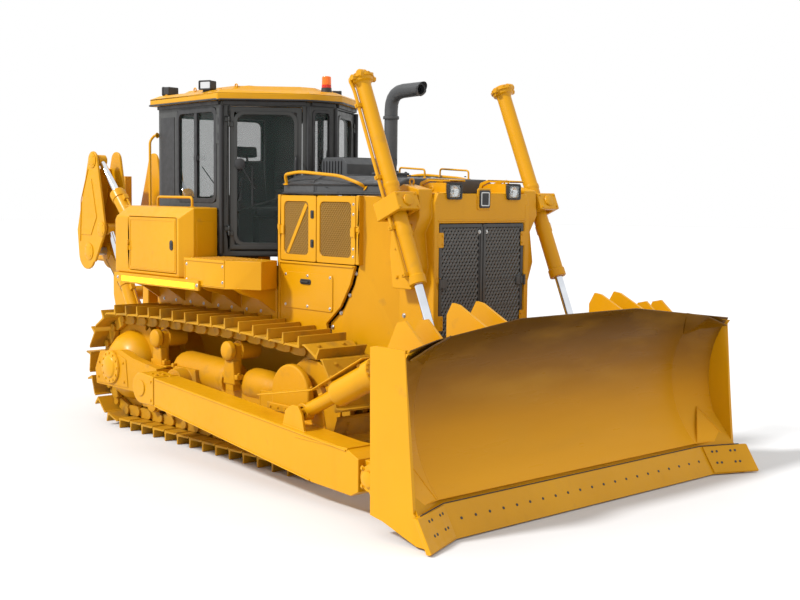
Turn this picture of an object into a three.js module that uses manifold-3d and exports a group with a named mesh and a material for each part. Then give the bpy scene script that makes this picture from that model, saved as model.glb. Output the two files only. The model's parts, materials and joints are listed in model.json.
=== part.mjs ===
// A crawler bulldozer with a semi-U blade and a single-shank ripper, in millimetres.
// While modelling, X points forward from the sprocket axle, Y to the machine's left and Z up from the ground.
// The last lines move the whole machine so that its origin is under the middle of its box.
import * as THREE from "three";
import { mergeVertices } from "three/addons/utils/BufferGeometryUtils.js";
import Module from "manifold-3d";

const wasm = await Module();
wasm.setup();

// ---------------------------------------------------------------- driving dimensions
const seatGap = 0.3; // between solids that rest on each other
const swingGap = 6; // between a door and its frame, and between pieces that pass each other

// Undercarriage
const trackGauge = 2160;
const shoeWidth = 540;
const shoeCount = 41;
const sprocketRadius = 490; // pitch circle
const idlerRadius = 470; // to the track pins
const wheelBase = 3150; // sprocket to idler
const grouserHeight = 83;
const grouserThickness = 26;
const shoeThickness = 22;
const linkRise = 60; // from the pin line out to the shoe
const linkDrop = 55; // from the pin line in to the rail
const railInner = 45; // half gap between the two link rails
const railOuter = 100;
const carrierX = [730, 2020];
const carrierRadius = 95;
const rollerRadius = 105;
const rollerCount = 7;

// Blade linkage
const trunnion = { x: 1250, y: 1660, z: 620, r: 90 };
const armTip = { x: 4640, z: 330 };
const armWidth = 260;
const armDepthRear = 280;
const armDepthFront = 350;
const bladeHalfWidth = 2030;
const bladeTop = 1560;
const bladeEndTop = 1410;
const wingStart = 1640;
const bladeCrest = 740; // the top edge is level this far out, then falls
const wingSweep = 0.42; // forward run of the wing for each unit outward
const plate = 30; // blade plate thickness
const liftEye = { x: 4560, y: 890, z: 950 };
const liftYoke = { x: 3930, y: 890, z: 2410 };
const liftBarrelRadius = 68;
const liftRodRadius = 38;
const liftBarrelBelow = 690; // barrel length below the yoke
const liftBarrelAbove = 1180;
const liftRodLength = 1460;
const tiltFoot = { x: 3660, y: 1640, z: 705 };
const tiltEye = { x: 4700, y: 1500, z: 1250 };
const tiltRodRadius = 50;
const tiltBarrelRadius = 105;

// Body
const guardFront = 4090;
const guardHalfWidth = 600;
const guardTop = 2530;
const hoodHalfWidth = 800;
const hoodShoulder = 2500;
const panelSill = 1880; // bottom of the engine doors
const deckTop = 1870;
const deckHalfWidth = 1300;
const cabRear = { x: -50, y: 780 };
const cabPost = { x: 1280, y: 870 };
const cabFront = { x: 1800, y: 180 };
const cabTop = 3430;
const wall = 60;
const roofThickness = 110;

// Ripper
const linkFoot = { x: -950, z: 750 };
const beamPin = { x: -1980, z: 1780 };
const pitchFoot = { x: -850, z: 1850 };
const pitchEye = { x: pitchFoot.x + beamPin.x - linkFoot.x, z: pitchFoot.z + beamPin.z - linkFoot.z };
const liftFoot = { x: -800, z: 620 };
const ripperEye = { x: -1670, z: 2060 };
const ripperLane = 475; // cylinders, from the middle
const ripperPlate = 30;
const plateOuter = 590;
const plateInner = 250;
const linkInner = 290;
const linkOuter = 360;
const shankThickness = 90;
const shankTop = 2700;
const shankTip = 620;

// ---------------------------------------------------------------- shape helpers
function solid(geometry) {
  const bare = geometry.index ? geometry.toNonIndexed() : geometry.clone();
  bare.deleteAttribute("normal");
  bare.deleteAttribute("uv");
  const merged = mergeVertices(bare, 1e-4);
  const mesh = new wasm.Mesh({
    numProp: 3,
    vertProperties: new Float32Array(merged.attributes.position.array),
    triVerts: new Uint32Array(merged.index.array),
  });
  return new wasm.Manifold(mesh);
}

const join = (...parts) => parts.flat().reduce((a, b) => a.add(b));
const cut = (body, ...tools) => tools.flat().reduce((a, b) => a.subtract(b), body);

function box(x0, x1, y0, y1, z0, z1) {
  const g = new THREE.BoxGeometry(Math.abs(x1 - x0), Math.abs(y1 - y0), Math.abs(z1 - z0));
  g.translate((x0 + x1) / 2, (y0 + y1) / 2, (z0 + z1) / 2);
  return solid(g);
}

// A flat outline pushed along one axis. The outline's two numbers are the other two axes, in X, Y, Z order.
const AXES = {
  x: new THREE.Matrix4().makeBasis(
    new THREE.Vector3(0, 1, 0), new THREE.Vector3(0, 0, 1), new THREE.Vector3(1, 0, 0)),
  y: new THREE.Matrix4().makeBasis(
    new THREE.Vector3(1, 0, 0), new THREE.Vector3(0, 0, 1), new THREE.Vector3(0, -1, 0)),
  z: new THREE.Matrix4(),
};

function prism(axis, outline, from, to, holes = []) {
  const shape = outline.isShape ? outline : new THREE.Shape(outline.map(([a, b]) => new THREE.Vector2(a, b)));
  for (const hole of holes) shape.holes.push(new THREE.Path(hole.map(([a, b]) => new THREE.Vector2(a, b))));
  const low = Math.min(from, to);
  const high = Math.max(from, to);
  const g = new THREE.ExtrudeGeometry(shape, { depth: high - low, bevelEnabled: false });
  g.applyMatrix4(AXES[axis]);
  const shift = axis === "y" ? high : low;
  g.translate(axis === "x" ? shift : 0, axis === "y" ? shift : 0, axis === "z" ? shift : 0);
  return solid(g);
}

// A cylinder or cone between two points.
function rod(a, b, r, r2 = r, sides = 16, turn = 0) {
  const start = new THREE.Vector3(...a);
  const end = new THREE.Vector3(...b);
  const along = end.clone().sub(start);
  const g = new THREE.CylinderGeometry(r2, r, along.length(), sides, 1, false, turn);
  g.applyQuaternion(new THREE.Quaternion().setFromUnitVectors(
    new THREE.Vector3(0, 1, 0), along.clone().normalize()));
  g.translate(...start.add(end).multiplyScalar(0.5).toArray());
  return solid(g);
}

const rodY = (at, y0, y1, r, sides = 16) => rod([at.x, y0, at.z], [at.x, y1, at.z], r, r, sides);

// The hole for a pin of radius r: its flats face the pin's corners, the seat gap away.
function bore(a, b, r, sides = 16) {
  const wide = (r + seatGap) / Math.cos(Math.PI / sides);
  return rod(a, b, wide, wide, sides, Math.PI / sides);
}

const boreY = (at, y0, y1, r, sides = 16) => bore([at.x, y0, at.z], [at.x, y1, at.z], r, sides);

// A pin hinge on a wall's face. "at" is the pin in plan, "along" points from it across the door, "out" away from
// the wall. The door's half has the lower barrel, the frame's half the upper one.
const hingeRadius = 12;

function hinge(at, alongWall, out, z0, z1, doorDepth = 2) {
  const [ax, ay] = alongWall;
  const [ox, oy] = out;
  const half = (side, low, high, depth) => {
    const place = (s, d) => [at[0] + side * s * ax - d * ox, at[1] + side * s * ay - d * oy];
    const leaf = prism("z", [place(8, hingeRadius - 6), place(44, hingeRadius - 6),
      place(44, hingeRadius + depth), place(8, hingeRadius + depth)], low, high);
    return join(rod([...at, low], [...at, high], hingeRadius, hingeRadius, 8), leaf);
  };
  const middle = (z0 + z1) / 2;
  return { door: half(1, z0, middle - seatGap, doorDepth), frame: half(-1, middle, z1, 2) };
}

function ball(at, r) {
  const g = new THREE.SphereGeometry(r, 12, 8);
  g.translate(...at);
  return solid(g);
}

// A solid between two flat rings of 3D points with as many points each.
function loft(ringA, ringB) {
  const n = ringA.length;
  const points = [...ringA, ...ringB].flat();
  const normal = new THREE.Vector3();
  for (let i = 0; i < n; i++) {
    const p = new THREE.Vector3(...ringA[i]);
    normal.add(p.cross(new THREE.Vector3(...ringA[(i + 1) % n])));
  }
  normal.normalize();
  const u = new THREE.Vector3(0.31, 0.77, 0.56).cross(normal).normalize();
  const v = normal.clone().cross(u);
  const flat = ringA.map((p) => new THREE.Vector2(u.dot(new THREE.Vector3(...p)), v.dot(new THREE.Vector3(...p))));
  const faces = THREE.ShapeUtils.triangulateShape(flat, []);
  const index = [];
  for (const [a, b, c] of faces) index.push(a, b, c, a + n, c + n, b + n);
  for (let i = 0; i < n; i++) {
    const j = (i + 1) % n;
    index.push(j, i, i + n, j, i + n, j + n);
  }
  const g = new THREE.BufferGeometry();
  g.setAttribute("position", new THREE.Float32BufferAttribute(points, 3));
  g.setIndex(index);
  const made = solid(g);
  return made.volume() < 0 ? flipped(g) : made;
}

function flipped(g) {
  const index = Array.from(g.index.array);
  for (let i = 0; i < index.length; i += 3) [index[i + 1], index[i + 2]] = [index[i + 2], index[i + 1]];
  g.setIndex(index);
  return solid(g);
}

function arc(cx, cz, r, from, to, steps) {
  const points = [];
  for (let i = 0; i <= steps; i++) {
    const a = THREE.MathUtils.degToRad(from + ((to - from) * i) / steps);
    points.push([cx + r * Math.cos(a), cz + r * Math.sin(a)]);
  }
  return points;
}

function geometryOf(manifold) {
  const mesh = manifold.getMesh();
  const n = mesh.numProp;
  const xyz = new Float32Array(mesh.numVert * 3);
  for (let i = 0; i < mesh.numVert; i++) xyz.set(mesh.vertProperties.subarray(i * n, i * n + 3), i * 3);
  const g = new THREE.BufferGeometry();
  g.setAttribute("position", new THREE.BufferAttribute(xyz, 3));
  g.setIndex(new THREE.BufferAttribute(new Uint32Array(mesh.triVerts), 1));
  return g;
}

function mirrored(manifold) {
  const g = geometryOf(manifold);
  g.scale(1, -1, 1);
  return flipped(g);
}

// ---------------------------------------------------------------- materials
const paint = (color, roughness, metalness) => new THREE.MeshStandardMaterial({ color, roughness, metalness });
const yellow = paint(0xe9a513, 0.42, 0.1);
const darkPaint = paint(0x3c3d3c, 0.5, 0.1);
const steel = paint(0xc9ccd0, 0.2, 1);
const castSteel = paint(0x5b4a22, 0.6, 0.6);
const glass = paint(0x31403f, 0.08, 0);
const seatVinyl = paint(0x1b1c1d, 0.75, 0);

const machine = new THREE.Group();

function add(name, material, manifold) {
  const mesh = new THREE.Mesh(geometryOf(manifold), material);
  mesh.name = name;
  machine.add(mesh);
}

// A left-hand shape and its mirror image on the right.
function addPair(name, material, left) {
  add(name + "_left", material, left);
  add(name + "_right", material, mirrored(left));
}

// ---------------------------------------------------------------- tracks
const trackY = trackGauge / 2;
const pinLine = grouserHeight + shoeThickness + linkRise;
const sprocketZ = pinLine + sprocketRadius;
const idlerZ = pinLine + idlerRadius;
const carrierZ = sprocketZ + sprocketRadius + 25 - linkDrop - carrierRadius;
const pulleys = [
  { x: 0, z: sprocketZ, r: sprocketRadius },
  { x: wheelBase, z: idlerZ, r: idlerRadius },
  { x: carrierX[1], z: carrierZ, r: carrierRadius + linkDrop },
  { x: carrierX[0], z: carrierZ, r: carrierRadius + linkDrop },
];

// The belt round the pulleys, counter-clockwise, pushed outward, as [x, z] points.
function belt(outward, step = 14) {
  const points = [];
  const turn = pulleys.map((p, i) => {
    const q = pulleys[(i + 1) % pulleys.length];
    const along = Math.atan2(q.z - p.z, q.x - p.x);
    const lean = Math.asin((p.r - q.r) / Math.hypot(q.x - p.x, q.z - p.z));
    return along - Math.PI / 2 + lean;
  });
  pulleys.forEach((p, i) => {
    let from = turn[(i + pulleys.length - 1) % pulleys.length];
    const to = turn[i];
    while (from > to) from -= 2 * Math.PI;
    const steps = Math.max(1, Math.ceil(THREE.MathUtils.radToDeg(to - from) / step));
    points.push(...arc(p.x, p.z, p.r + outward,
      THREE.MathUtils.radToDeg(from), THREE.MathUtils.radToDeg(to), steps));
  });
  return points;
}

// Points at equal distances along the pin line, each with its direction.
function beltStations(count) {
  const line = belt(0, 2);
  const lengths = line.map((p, i) => {
    const q = line[(i + 1) % line.length];
    return Math.hypot(q[0] - p[0], q[1] - p[1]);
  });
  const total = lengths.reduce((a, b) => a + b, 0);
  const stations = [];
  let walked = 0;
  let k = 0;
  for (let i = 0; i < line.length; i++) {
    const p = line[i];
    const q = line[(i + 1) % line.length];
    while (k < count && (k * total) / count < walked + lengths[i]) {
      const t = ((k * total) / count - walked) / lengths[i];
      const dx = (q[0] - p[0]) / lengths[i];
      const dz = (q[1] - p[1]) / lengths[i];
      stations.push({ x: p[0] + t * dx * lengths[i], z: p[1] + t * dz * lengths[i], dx, dz });
      k += 1;
    }
    walked += lengths[i];
  }
  return stations;
}

function track() {
  const half = shoeWidth / 2;
  const bandOuter = linkRise + shoeThickness;
  const band = prism("y", belt(bandOuter), trackY - half, trackY + half, [belt(linkRise)]);
  const grousers = beltStations(shoeCount).map(({ x, z, dx, dz }) => {
    const at = (along, out) => [x + along * dx + out * dz, z + along * dz - out * dx];
    const t = grouserThickness / 2;
    const base = bandOuter - 12;
    const tip = bandOuter + grouserHeight;
    return prism("y", [at(-t, base), at(t, base), at(t * 0.7, tip), at(-t * 0.7, tip)],
      trackY - half, trackY + half);
  });
  const rails = [-1, 1].map((side) => prism("y", belt(linkRise + 2),
    trackY + side * railInner, trackY + side * railOuter, [belt(-linkDrop)]));
  return join(band, grousers, rails);
}
addPair("track", castSteel, track());

function sprocket() {
  const teeth = 27;
  const root = 452;
  const tip = 522;
  const outline = [];
  for (let i = 0; i < teeth; i++) {
    const a = (360 / teeth) * i;
    for (const [da, r] of [[-4.6, root], [-2.2, tip], [2.2, tip], [4.6, root]]) {
      const angle = THREE.MathUtils.degToRad(a + da);
      outline.push([r * Math.cos(angle), sprocketZ + r * Math.sin(angle)]);
    }
  }
  const centre = { x: 0, z: sprocketZ };
  const rim = prism("y", outline, trackY - 38, trackY + 38);
  const at = (y) => [0, y, sprocketZ];
  const hub = join(
    rod(at(990), at(1115), 345, 345, 16),
    rod(at(1114), at(1262), 345, 190, 16),
    rodY(centre, 1261, 1425, 128, 28));
  return join(rim, hub);
}
addPair("sprocket", yellow, sprocket());

// ---------------------------------------------------------------- track frames
const frameInner = 940;
const frameOuter = 1200;
const frameFront = wheelBase - 510; // the beam's front end, behind the idler
const forkInner = 884;

function roller(x, z, r, reach, sides) {
  return rodY({ x, z }, trackY - reach, trackY + reach, r - 0.8, sides);
}

function trackFrame() {
  const beam = prism("y", [[590, 420], [590, 640], [700, 730], [frameFront - 160, 730],
    [frameFront, 640], [frameFront, 420]],
    frameInner, frameOuter);
  const springCase = join(
    rod([960, trackY, 730], [1830, trackY, 700], 165),
    rod([frameFront - 460, trackY, 700], [frameFront - 80, trackY, 690], 150, 110, 16));
  const rearArm = cut(
    prism("y", [[-330, 440], [-360, 600], [-250, 800], [180, 850], [420, 790], [900, 730], [900, 440]],
      1300, 1400),
    boreY({ x: 0, z: sprocketZ }, 1250, 1450, 128, 28));
  const rearTie = box(640, 900, frameOuter - 10, 1310, 450, 725);
  const carriers = carrierX.map((x) => join(
    roller(x, carrierZ, carrierRadius, railOuter + 6, 16),
    rodY({ x, z: carrierZ }, trackY, 1300, 70, 12),
    box(x - 62, x + 62, frameOuter - 12, 1285, 640, carrierZ + 50)));
  const rollerZ = pinLine + linkDrop + rollerRadius;
  const rollers = Array.from({ length: rollerCount }, (_, i) =>
    roller(570 + ((frameFront + 60 - 570) * i) / (rollerCount - 1), rollerZ, rollerRadius, 150, 10));
  const guards = [[900, 926], [1214, 1240]].map(([y0, y1]) =>
    prism("y", [[360, 262], [300, 420], [420, 470], [frameFront + 160, 470], [frameFront + 240, 420],
      [frameFront + 180, 262]], y0, y1));
  const guardTie = box(600, frameFront, 902, 1238, 436, 468);
  const idlerCentre = { x: wheelBase, z: idlerZ };
  const tread = (idlerRadius - linkDrop) * Math.cos(THREE.MathUtils.degToRad(7)) - 0.8;
  const idler = join(
    rodY(idlerCentre, trackY - railOuter - 8, trackY + railOuter + 8, tread, 28),
    rodY(idlerCentre, trackY - railInner + 4, trackY + railInner - 4, tread + 36, 28),
    rodY(idlerCentre, 884, 1256, 75, 12));
  const forks = [[forkInner, 930], [1210, 1256]].map(([y0, y1]) =>
    prism("y", [[frameFront - 160, 520], [frameFront - 160, 700], [wheelBase - 100, 730],
      [wheelBase + 110, 700], [wheelBase + 110, 570], [wheelBase - 100, 520]], y0, y1));
  const slide = box(frameFront - 180, frameFront + 60, 886, 1254, 530, 690);
  const ballBracket = join(
    prism("y", [[1020, 440], [1060, 770], [1440, 770], [1480, 440]], frameOuter - 5, 1290),
    rodY(trunnion, 1280, 1420, 150, 24),
    rodY(trunnion, 1400, trunnion.y, trunnion.r, 24));
  return join(beam, springCase, rearArm, rearTie, carriers, rollers, guards, guardTie, idler, forks, slide,
    ballBracket);
}
addPair("track_frame", yellow, trackFrame());

// ---------------------------------------------------------------- main frame, engine and hood
const engineDoors = { rear: [2180, 2716], front: [2728, 3280] };
const engineHinge = {
  rear: hinge([2177, hoodHalfWidth + hingeRadius + 0.3], [1, 0], [0, 1], 2120, 2220),
  front: hinge([3283, hoodHalfWidth + hingeRadius + 0.3], [-1, 0], [0, 1], 2120, 2220),
};
const hullHalf = 450;

function mainFrame() {
  const hull = prism("y", [[-600, 560], [-600, 1500], [-80, 1500], [0, 1290], [3560, 1240], [3600, 700],
    [3400, 500], [-400, 480]], -hullHalf, hullHalf);
  const driveCase = join(
    rod([0, -985, sprocketZ], [0, 985, sprocketZ], 300, 300, 24),
    rod([0, -700, sprocketZ], [0, 700, sprocketZ], 370, 370, 24));
  const pivotShaft = rod([740, seatGap - frameInner, 560], [740, frameInner - seatGap, 560], 85);
  const equalizer = box(2480, 2760, seatGap - forkInner, forkInner - seatGap, 560, 740);
  const bayFloor = box(2160, 3640, -540, 540, 1235, 1265);
  const sides = [-1, 1].map((s) => prism("y", [[2160, 1236], [2895, 1236], [2876, 1322], [3075, 1488], [3214, 1706],
    [3274, panelSill - 8], [2160, panelSill - 8]], s * (hoodHalfWidth - 30), s * hoodHalfWidth));
  const bulkhead = box(2160, 2190, -hoodHalfWidth, hoodHalfWidth, 1236, panelSill - 8);
  const posts = [-1, 1].map((s) => box(2130, 2173, s * (hoodHalfWidth - 100), s * hoodHalfWidth, 1236,
    hoodShoulder - seatGap));
  const hinges = [engineHinge.rear.frame, mirrored(engineHinge.rear.frame)];
  const cabMounts = [-1, 1].flatMap((s) => [80, 1150].map((x) =>
    box(x, x + 160, s * 300, s * 440, 1200, deckTop - seatGap)));
  return join(hull, driveCase, pivotShaft, equalizer, bayFloor, sides, bulkhead, posts, hinges, cabMounts);
}
add("main_frame", yellow, mainFrame());

add("engine", castSteel, box(2230, 3420, -330, 330, 1265 + seatGap, 2320));

function hood() {
  const section = (x, halfWidth, drop) => [
    [x, -halfWidth, hoodShoulder], [x, halfWidth, hoodShoulder], [x, halfWidth, hoodShoulder + 120 - drop],
    [x, halfWidth - 160, hoodShoulder + 185 - drop], [x, 160 - halfWidth, hoodShoulder + 185 - drop],
    [x, -halfWidth, hoodShoulder + 120 - drop]];
  const inner = (x, halfWidth, drop) => section(x, halfWidth, drop).map(([a, b, c]) => [a, b, c - 40]);
  const rearHalf = 720;
  const shell = join(
    loft(section(2110, rearHalf, 0), section(2700, hoodHalfWidth, 0)),
    loft(section(2699, hoodHalfWidth, 0), section(3640, 660, 28)));
  const hollow = join(
    loft(inner(2150, rearHalf - 40, 0), inner(2700, hoodHalfWidth - 40, 0)),
    loft(inner(2699, hoodHalfWidth - 40, 0), inner(3600, 620, 28)));
  const airBox = prism("y", [[2120, 2660], [2120, 2860], [2440, 2860], [2500, 2800], [2500, 2660]], -250, 200);
  const stackX = 3130;
  const stackY = -250;
  const pipe = new THREE.CurvePath();
  pipe.add(new THREE.LineCurve3(new THREE.Vector3(stackX, stackY, 2640), new THREE.Vector3(stackX, stackY, 3270)));
  pipe.add(new THREE.CubicBezierCurve3(
    new THREE.Vector3(stackX, stackY, 3270), new THREE.Vector3(stackX, stackY, 3380),
    new THREE.Vector3(stackX + 40, stackY, 3440), new THREE.Vector3(stackX + 160, stackY, 3445)));
  pipe.add(new THREE.LineCurve3(
    new THREE.Vector3(stackX + 160, stackY, 3445), new THREE.Vector3(stackX + 400, stackY, 3455)));
  const disc = new THREE.Shape(new THREE.EllipseCurve(0, 0, 58, 58).getPoints(12).slice(0, 12));
  const pipeSolid = solid(new THREE.ExtrudeGeometry(disc, { extrudePath: pipe, steps: 14, bevelEnabled: false }));
  const mouth = rod([stackX + 250, stackY, 3449], [stackX + 500, stackY, 3459], 50, 50, 16);
  const slant = prism("y", [[stackX + 360, 3360], [stackX + 460, 3540], [stackX + 600, 3540], [stackX + 600, 3360]],
    stackY - 90, stackY + 90);
  const flange = box(stackX - 120, stackX + 120, stackY - 110, stackY + 110, 2650, 2700);
  return join(cut(shell, hollow), airBox, cut(pipeSolid, mouth, slant), flange);
}
add("hood", darkPaint, hood());

// ---------------------------------------------------------------- radiator guard
const grille = { half: 540, bottom: 1260, top: 2270 };
const grilleHinge = hinge([guardFront + hingeRadius + 0.3, grille.half - swingGap / 2], [0, -1], [1, 0],
  1700, 1800, 10);

function radiatorGuard() {
  const backX = 3650;
  const shell = cut(
    prism("x", [[-guardHalfWidth, 960], [guardHalfWidth, 960], [guardHalfWidth, guardTop - 90],
      [guardHalfWidth - 40, guardTop], [40 - guardHalfWidth, guardTop], [-guardHalfWidth, guardTop - 90]],
      backX, guardFront),
    box(backX + 250, guardFront + 10, -grille.half, grille.half, grille.bottom, grille.top));
  const nose = prism("y", [[3700, 560], [3700, 980], [3900, 980], [guardFront, 1000], [guardFront, 900],
    [3950, 640], [3800, 560]], -hullHalf, hullHalf);
  const backHollow = box(backX - 10, backX + 120, -guardHalfWidth + 60, guardHalfWidth - 60, 1300, 2440);
  const sidePlates = [-1, 1].map((s) => {
    const front = guardHalfWidth;
    const rear = hoodHalfWidth - 40;
    const outline = [[0, 1240], [0, hoodShoulder - seatGap], [-360, hoodShoulder - seatGap], [-360, 1875],
      [-420, 1700], [-560, 1480], [-760, 1320], [-690, 1000], [-300, 900]];
    const place = (inset) => outline.map(([dx, z]) => {
      const share = Math.min(1, -dx / 360);
      return [backX + dx, s * (front + share * (rear - front) - inset), z];
    });
    return sheetBetween(place(0), place(28));
  });
  const lampHousings = [-1, 1].map((s) => prism("y", [[3720, guardTop - 30], [3760, guardTop + 60],
    [3860, guardTop + 90], [guardFront - 10, guardTop + 90], [guardFront - 10, guardTop - 60]],
    s * 290, s * 460));
  const supports = [-1, 1].map((s) => join(
    prism("y", [[3720, 1700], [3680, 2000], [3720, 2540], [3840, 2600], [4040, 2560], [4060, 2330], [3980, 2180],
      [4020, 1900], [3960, 1700]], s * (guardHalfWidth - 20), s * 745),
    rodY(liftYoke, s * 740, s * 806, 60, 16)));
  const doorPosts = [-1, 1].map((s) => box(3287, 3330, s * (hoodHalfWidth - 70), s * hoodHalfWidth, 1880,
    hoodShoulder - seatGap));
  const hinges = [engineHinge.front.frame, mirrored(engineHinge.front.frame), grilleHinge.frame,
    mirrored(grilleHinge.frame)];
  const core = box(backX + 60, backX + 252, -grille.half, grille.half, 1280, 2300);
  return join(cut(shell, backHollow), nose, core, sidePlates, doorPosts, hinges, lampHousings, supports);
}

// A bent sheet: two matching open rings, side by side, made one solid from strips.
function sheetBetween(outer, inner) {
  const n = outer.length;
  const centreFan = THREE.ShapeUtils.triangulateShape(outer.map(([x, , z]) => new THREE.Vector2(x, z)), []);
  const index = [];
  for (const [a, b, c] of centreFan) index.push(a, b, c, a + n, c + n, b + n);
  for (let i = 0; i < n; i++) {
    const j = (i + 1) % n;
    index.push(j, i, i + n, j, i + n, j + n);
  }
  const g = new THREE.BufferGeometry();
  g.setAttribute("position", new THREE.Float32BufferAttribute([...outer, ...inner].flat(), 3));
  g.setIndex(index);
  const made = solid(g);
  return made.volume() < 0 ? flipped(g) : made;
}
add("radiator_guard", yellow, radiatorGuard());

addPair("grille_door", darkPaint, join(
  box(guardFront - 45, guardFront - 5, 4, grille.half - swingGap, grille.bottom + swingGap, grille.top - swingGap),
  grilleHinge.door));

// ---------------------------------------------------------------- engine doors
const doorThick = 30;
for (const [end, [x0, x1]] of Object.entries(engineDoors)) {
  addPair("engine_door_" + end, yellow, join(
    box(x0, x1, hoodHalfWidth - doorThick, hoodHalfWidth, panelSill, hoodShoulder - swingGap),
    engineHinge[end].door));
}

// ---------------------------------------------------------------- fenders, tanks and boxes
const sideBox = { x0: -120, x1: 1240, y0: 890, y1: 1280, top: 2360 };

function fender() {
  const step = prism("z", [[1262, 800], [1262, deckHalfWidth], [1980, deckHalfWidth], [2280, 1100], [2140, 810]],
    1600, deckTop);
  const rearDeck = box(-60, 1270, 770, deckHalfWidth + 30, 1600, 1660);
  const skirt = box(-60, 1560, deckHalfWidth, deckHalfWidth + 30, 1560, 1660);
  const innerWall = box(-60, 2120, 770, 800, 1270, 1610);
  const ribs = [-40, 470, 980, 1500, 2080].map((x) => prism("x",
    [[790, 1360], [790, 1610], [1290, 1610], [1200, 1560], [1000, 1500]], x, x + 25));
  const shelf = box(-60, 2120, hullHalf + 1, 790, 1270, 1302);
  return join(step, rearDeck, skirt, innerWall, ribs, shelf);
}
addPair("fender", yellow, fender());

const boxDoor = { x0: 170, x1: 1080, z0: 1700, z1: 2250 };
const boxHinge = hinge([boxDoor.x0 - swingGap / 2, -sideBox.y1 - hingeRadius - 0.3], [1, 0], [0, -1], 1900, 2000);

function sideBoxBody() {
  const c = 110;
  const { x0, x1, y0, y1, top } = sideBox;
  const bottom = 1660 + seatGap;
  return cut(
    prism("y", [[x0, bottom], [x0, top - 150], [x0 + 110, top], [x1, top], [x1, bottom]], y0, y1),
    prism("x", [[y1 - c, top + 1], [y1 + 1, top - c], [y1 + 1, top + 1]], x0 - 1, x1 + 1),
    prism("z", [[x1 - c, y1 + 1], [x1 + 1, y1 - c], [x1 + 1, y1 + 1]], bottom - 1, top + 1));
}
add("side_box_left", yellow, sideBoxBody());
add("side_box_right", yellow, join(boxHinge.frame, cut(mirrored(sideBoxBody()),
  box(boxDoor.x0 - swingGap, boxDoor.x1 + swingGap, -sideBox.y1 + 36, -sideBox.y1 - 5,
    boxDoor.z0 - swingGap, boxDoor.z1 + swingGap))));
add("side_box_door_right", yellow, join(boxHinge.door,
  box(boxDoor.x0, boxDoor.x1, -sideBox.y1 + 29, -sideBox.y1, boxDoor.z0, boxDoor.z1)));

add("fuel_tank", yellow, join(
  prism("y", [[-600, 1500 + seatGap], [-600, 2150], [-540, 2240], [-160, 2240], [-110, 2180], [-110, 1500 + seatGap]],
    -769, 769),
  rod([-350, 420, 2230], [-350, 420, 2290], 60)));

// ---------------------------------------------------------------- cab
const cabOutline = [
  [cabRear.x, -cabRear.y], [cabPost.x, -cabPost.y], [cabFront.x, -cabFront.y],
  [cabFront.x, cabFront.y], [cabPost.x, cabPost.y], [cabRear.x, cabRear.y]];

// The outline moved inward by a distance, or outward if it is negative.
function inset(outline, d) {
  return outline.map((p, i) => {
    const a = outline[(i + outline.length - 1) % outline.length];
    const b = outline[(i + 1) % outline.length];
    const n = ([x0, y0], [x1, y1]) => {
      const l = Math.hypot(x1 - x0, y1 - y0);
      return [-(y1 - y0) / l, (x1 - x0) / l];
    };
    const [n1, n2] = [n(a, p), n(p, b)];
    const k = d / (1 + n1[0] * n2[0] + n1[1] * n2[1]);
    return [p[0] + k * (n1[0] + n2[0]), p[1] + k * (n1[1] + n2[1])];
  });
}

// A block in a wall that runs from a to b: along it, through it (0 is the outer face, positive inward) and up.
function inWall(a, b, along0, along1, deep0, deep1, z0, z1) {
  const length = Math.hypot(b.x - a.x, b.y - a.y);
  const u = [(b.x - a.x) / length, (b.y - a.y) / length];
  const inward = [u[1], -u[0]];
  const at = (s, d) => [a.x + s * u[0] + d * inward[0], a.y + s * u[1] + d * inward[1]];
  return prism("z", [at(along0, deep0), at(along1, deep0), at(along1, deep1), at(along0, deep1)].reverse(), z0, z1);
}

const doorWidth = Math.hypot(cabFront.x - cabPost.x, cabFront.y - cabPost.y);
const sideLength = Math.hypot(cabPost.x - cabRear.x, cabPost.y - cabRear.y);
const doorSpan = [75, doorWidth - 55];
const doorRise = [deckTop + 60, 3375];
const doorFrame = 60;
const sideWindow = { from: 420, to: sideLength - 110, z0: 2420, z1: 3360 };
const endWindow = { front: 110, rear: 600, z0: 2440, z1: 3340 };
const glassThick = 8;

const doorLine = new THREE.Vector2(cabFront.x - cabPost.x, cabFront.y - cabPost.y).normalize();
const doorOut = [-doorLine.y, doorLine.x];
const hingeAt = [cabPost.x + 77 * doorLine.x + (hingeRadius + 0.3) * doorOut[0],
  cabPost.y + 77 * doorLine.y + (hingeRadius + 0.3) * doorOut[1]];
const cabHinges = [2080, 3170].map((z) => hinge(hingeAt, [doorLine.x, doorLine.y], doorOut, z, z + 100));

function cabFrame() {
  const shell = cut(prism("z", cabOutline, deckTop + seatGap, cabTop),
    prism("z", inset(cabOutline, wall), deckTop + 55, cabTop + 10));
  const halves = [1, -1].map((s) => {
    const tools = join(
      inWall(cabPost, cabFront, doorSpan[0], doorSpan[1], -20, wall + 40, doorRise[0], doorRise[1]),
      inWall(cabRear, cabPost, sideWindow.from, sideWindow.to, -20, wall + 20, sideWindow.z0, sideWindow.z1));
    return s > 0 ? tools : mirrored(tools);
  });
  const front = box(cabFront.x - 100, cabFront.x + 20, -endWindow.front, endWindow.front, endWindow.z0, endWindow.z1);
  const rear = box(cabRear.x - 20, cabRear.x + 100, -endWindow.rear, endWindow.rear, endWindow.z0, endWindow.z1);
  const dash = box(1440, 1690, -150, 150, deckTop + 50, 2560);
  const consoles = [-1, 1].map((s) => box(480, 1080, s * 340, s * 520, deckTop + 50, 2420));
  const hinges = cabHinges.flatMap((h) => [h.frame, mirrored(h.frame)]);
  return join(cut(shell, halves, front, rear), hinges, dash, consoles);
}
add("cab_frame", darkPaint, cabFrame());

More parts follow.
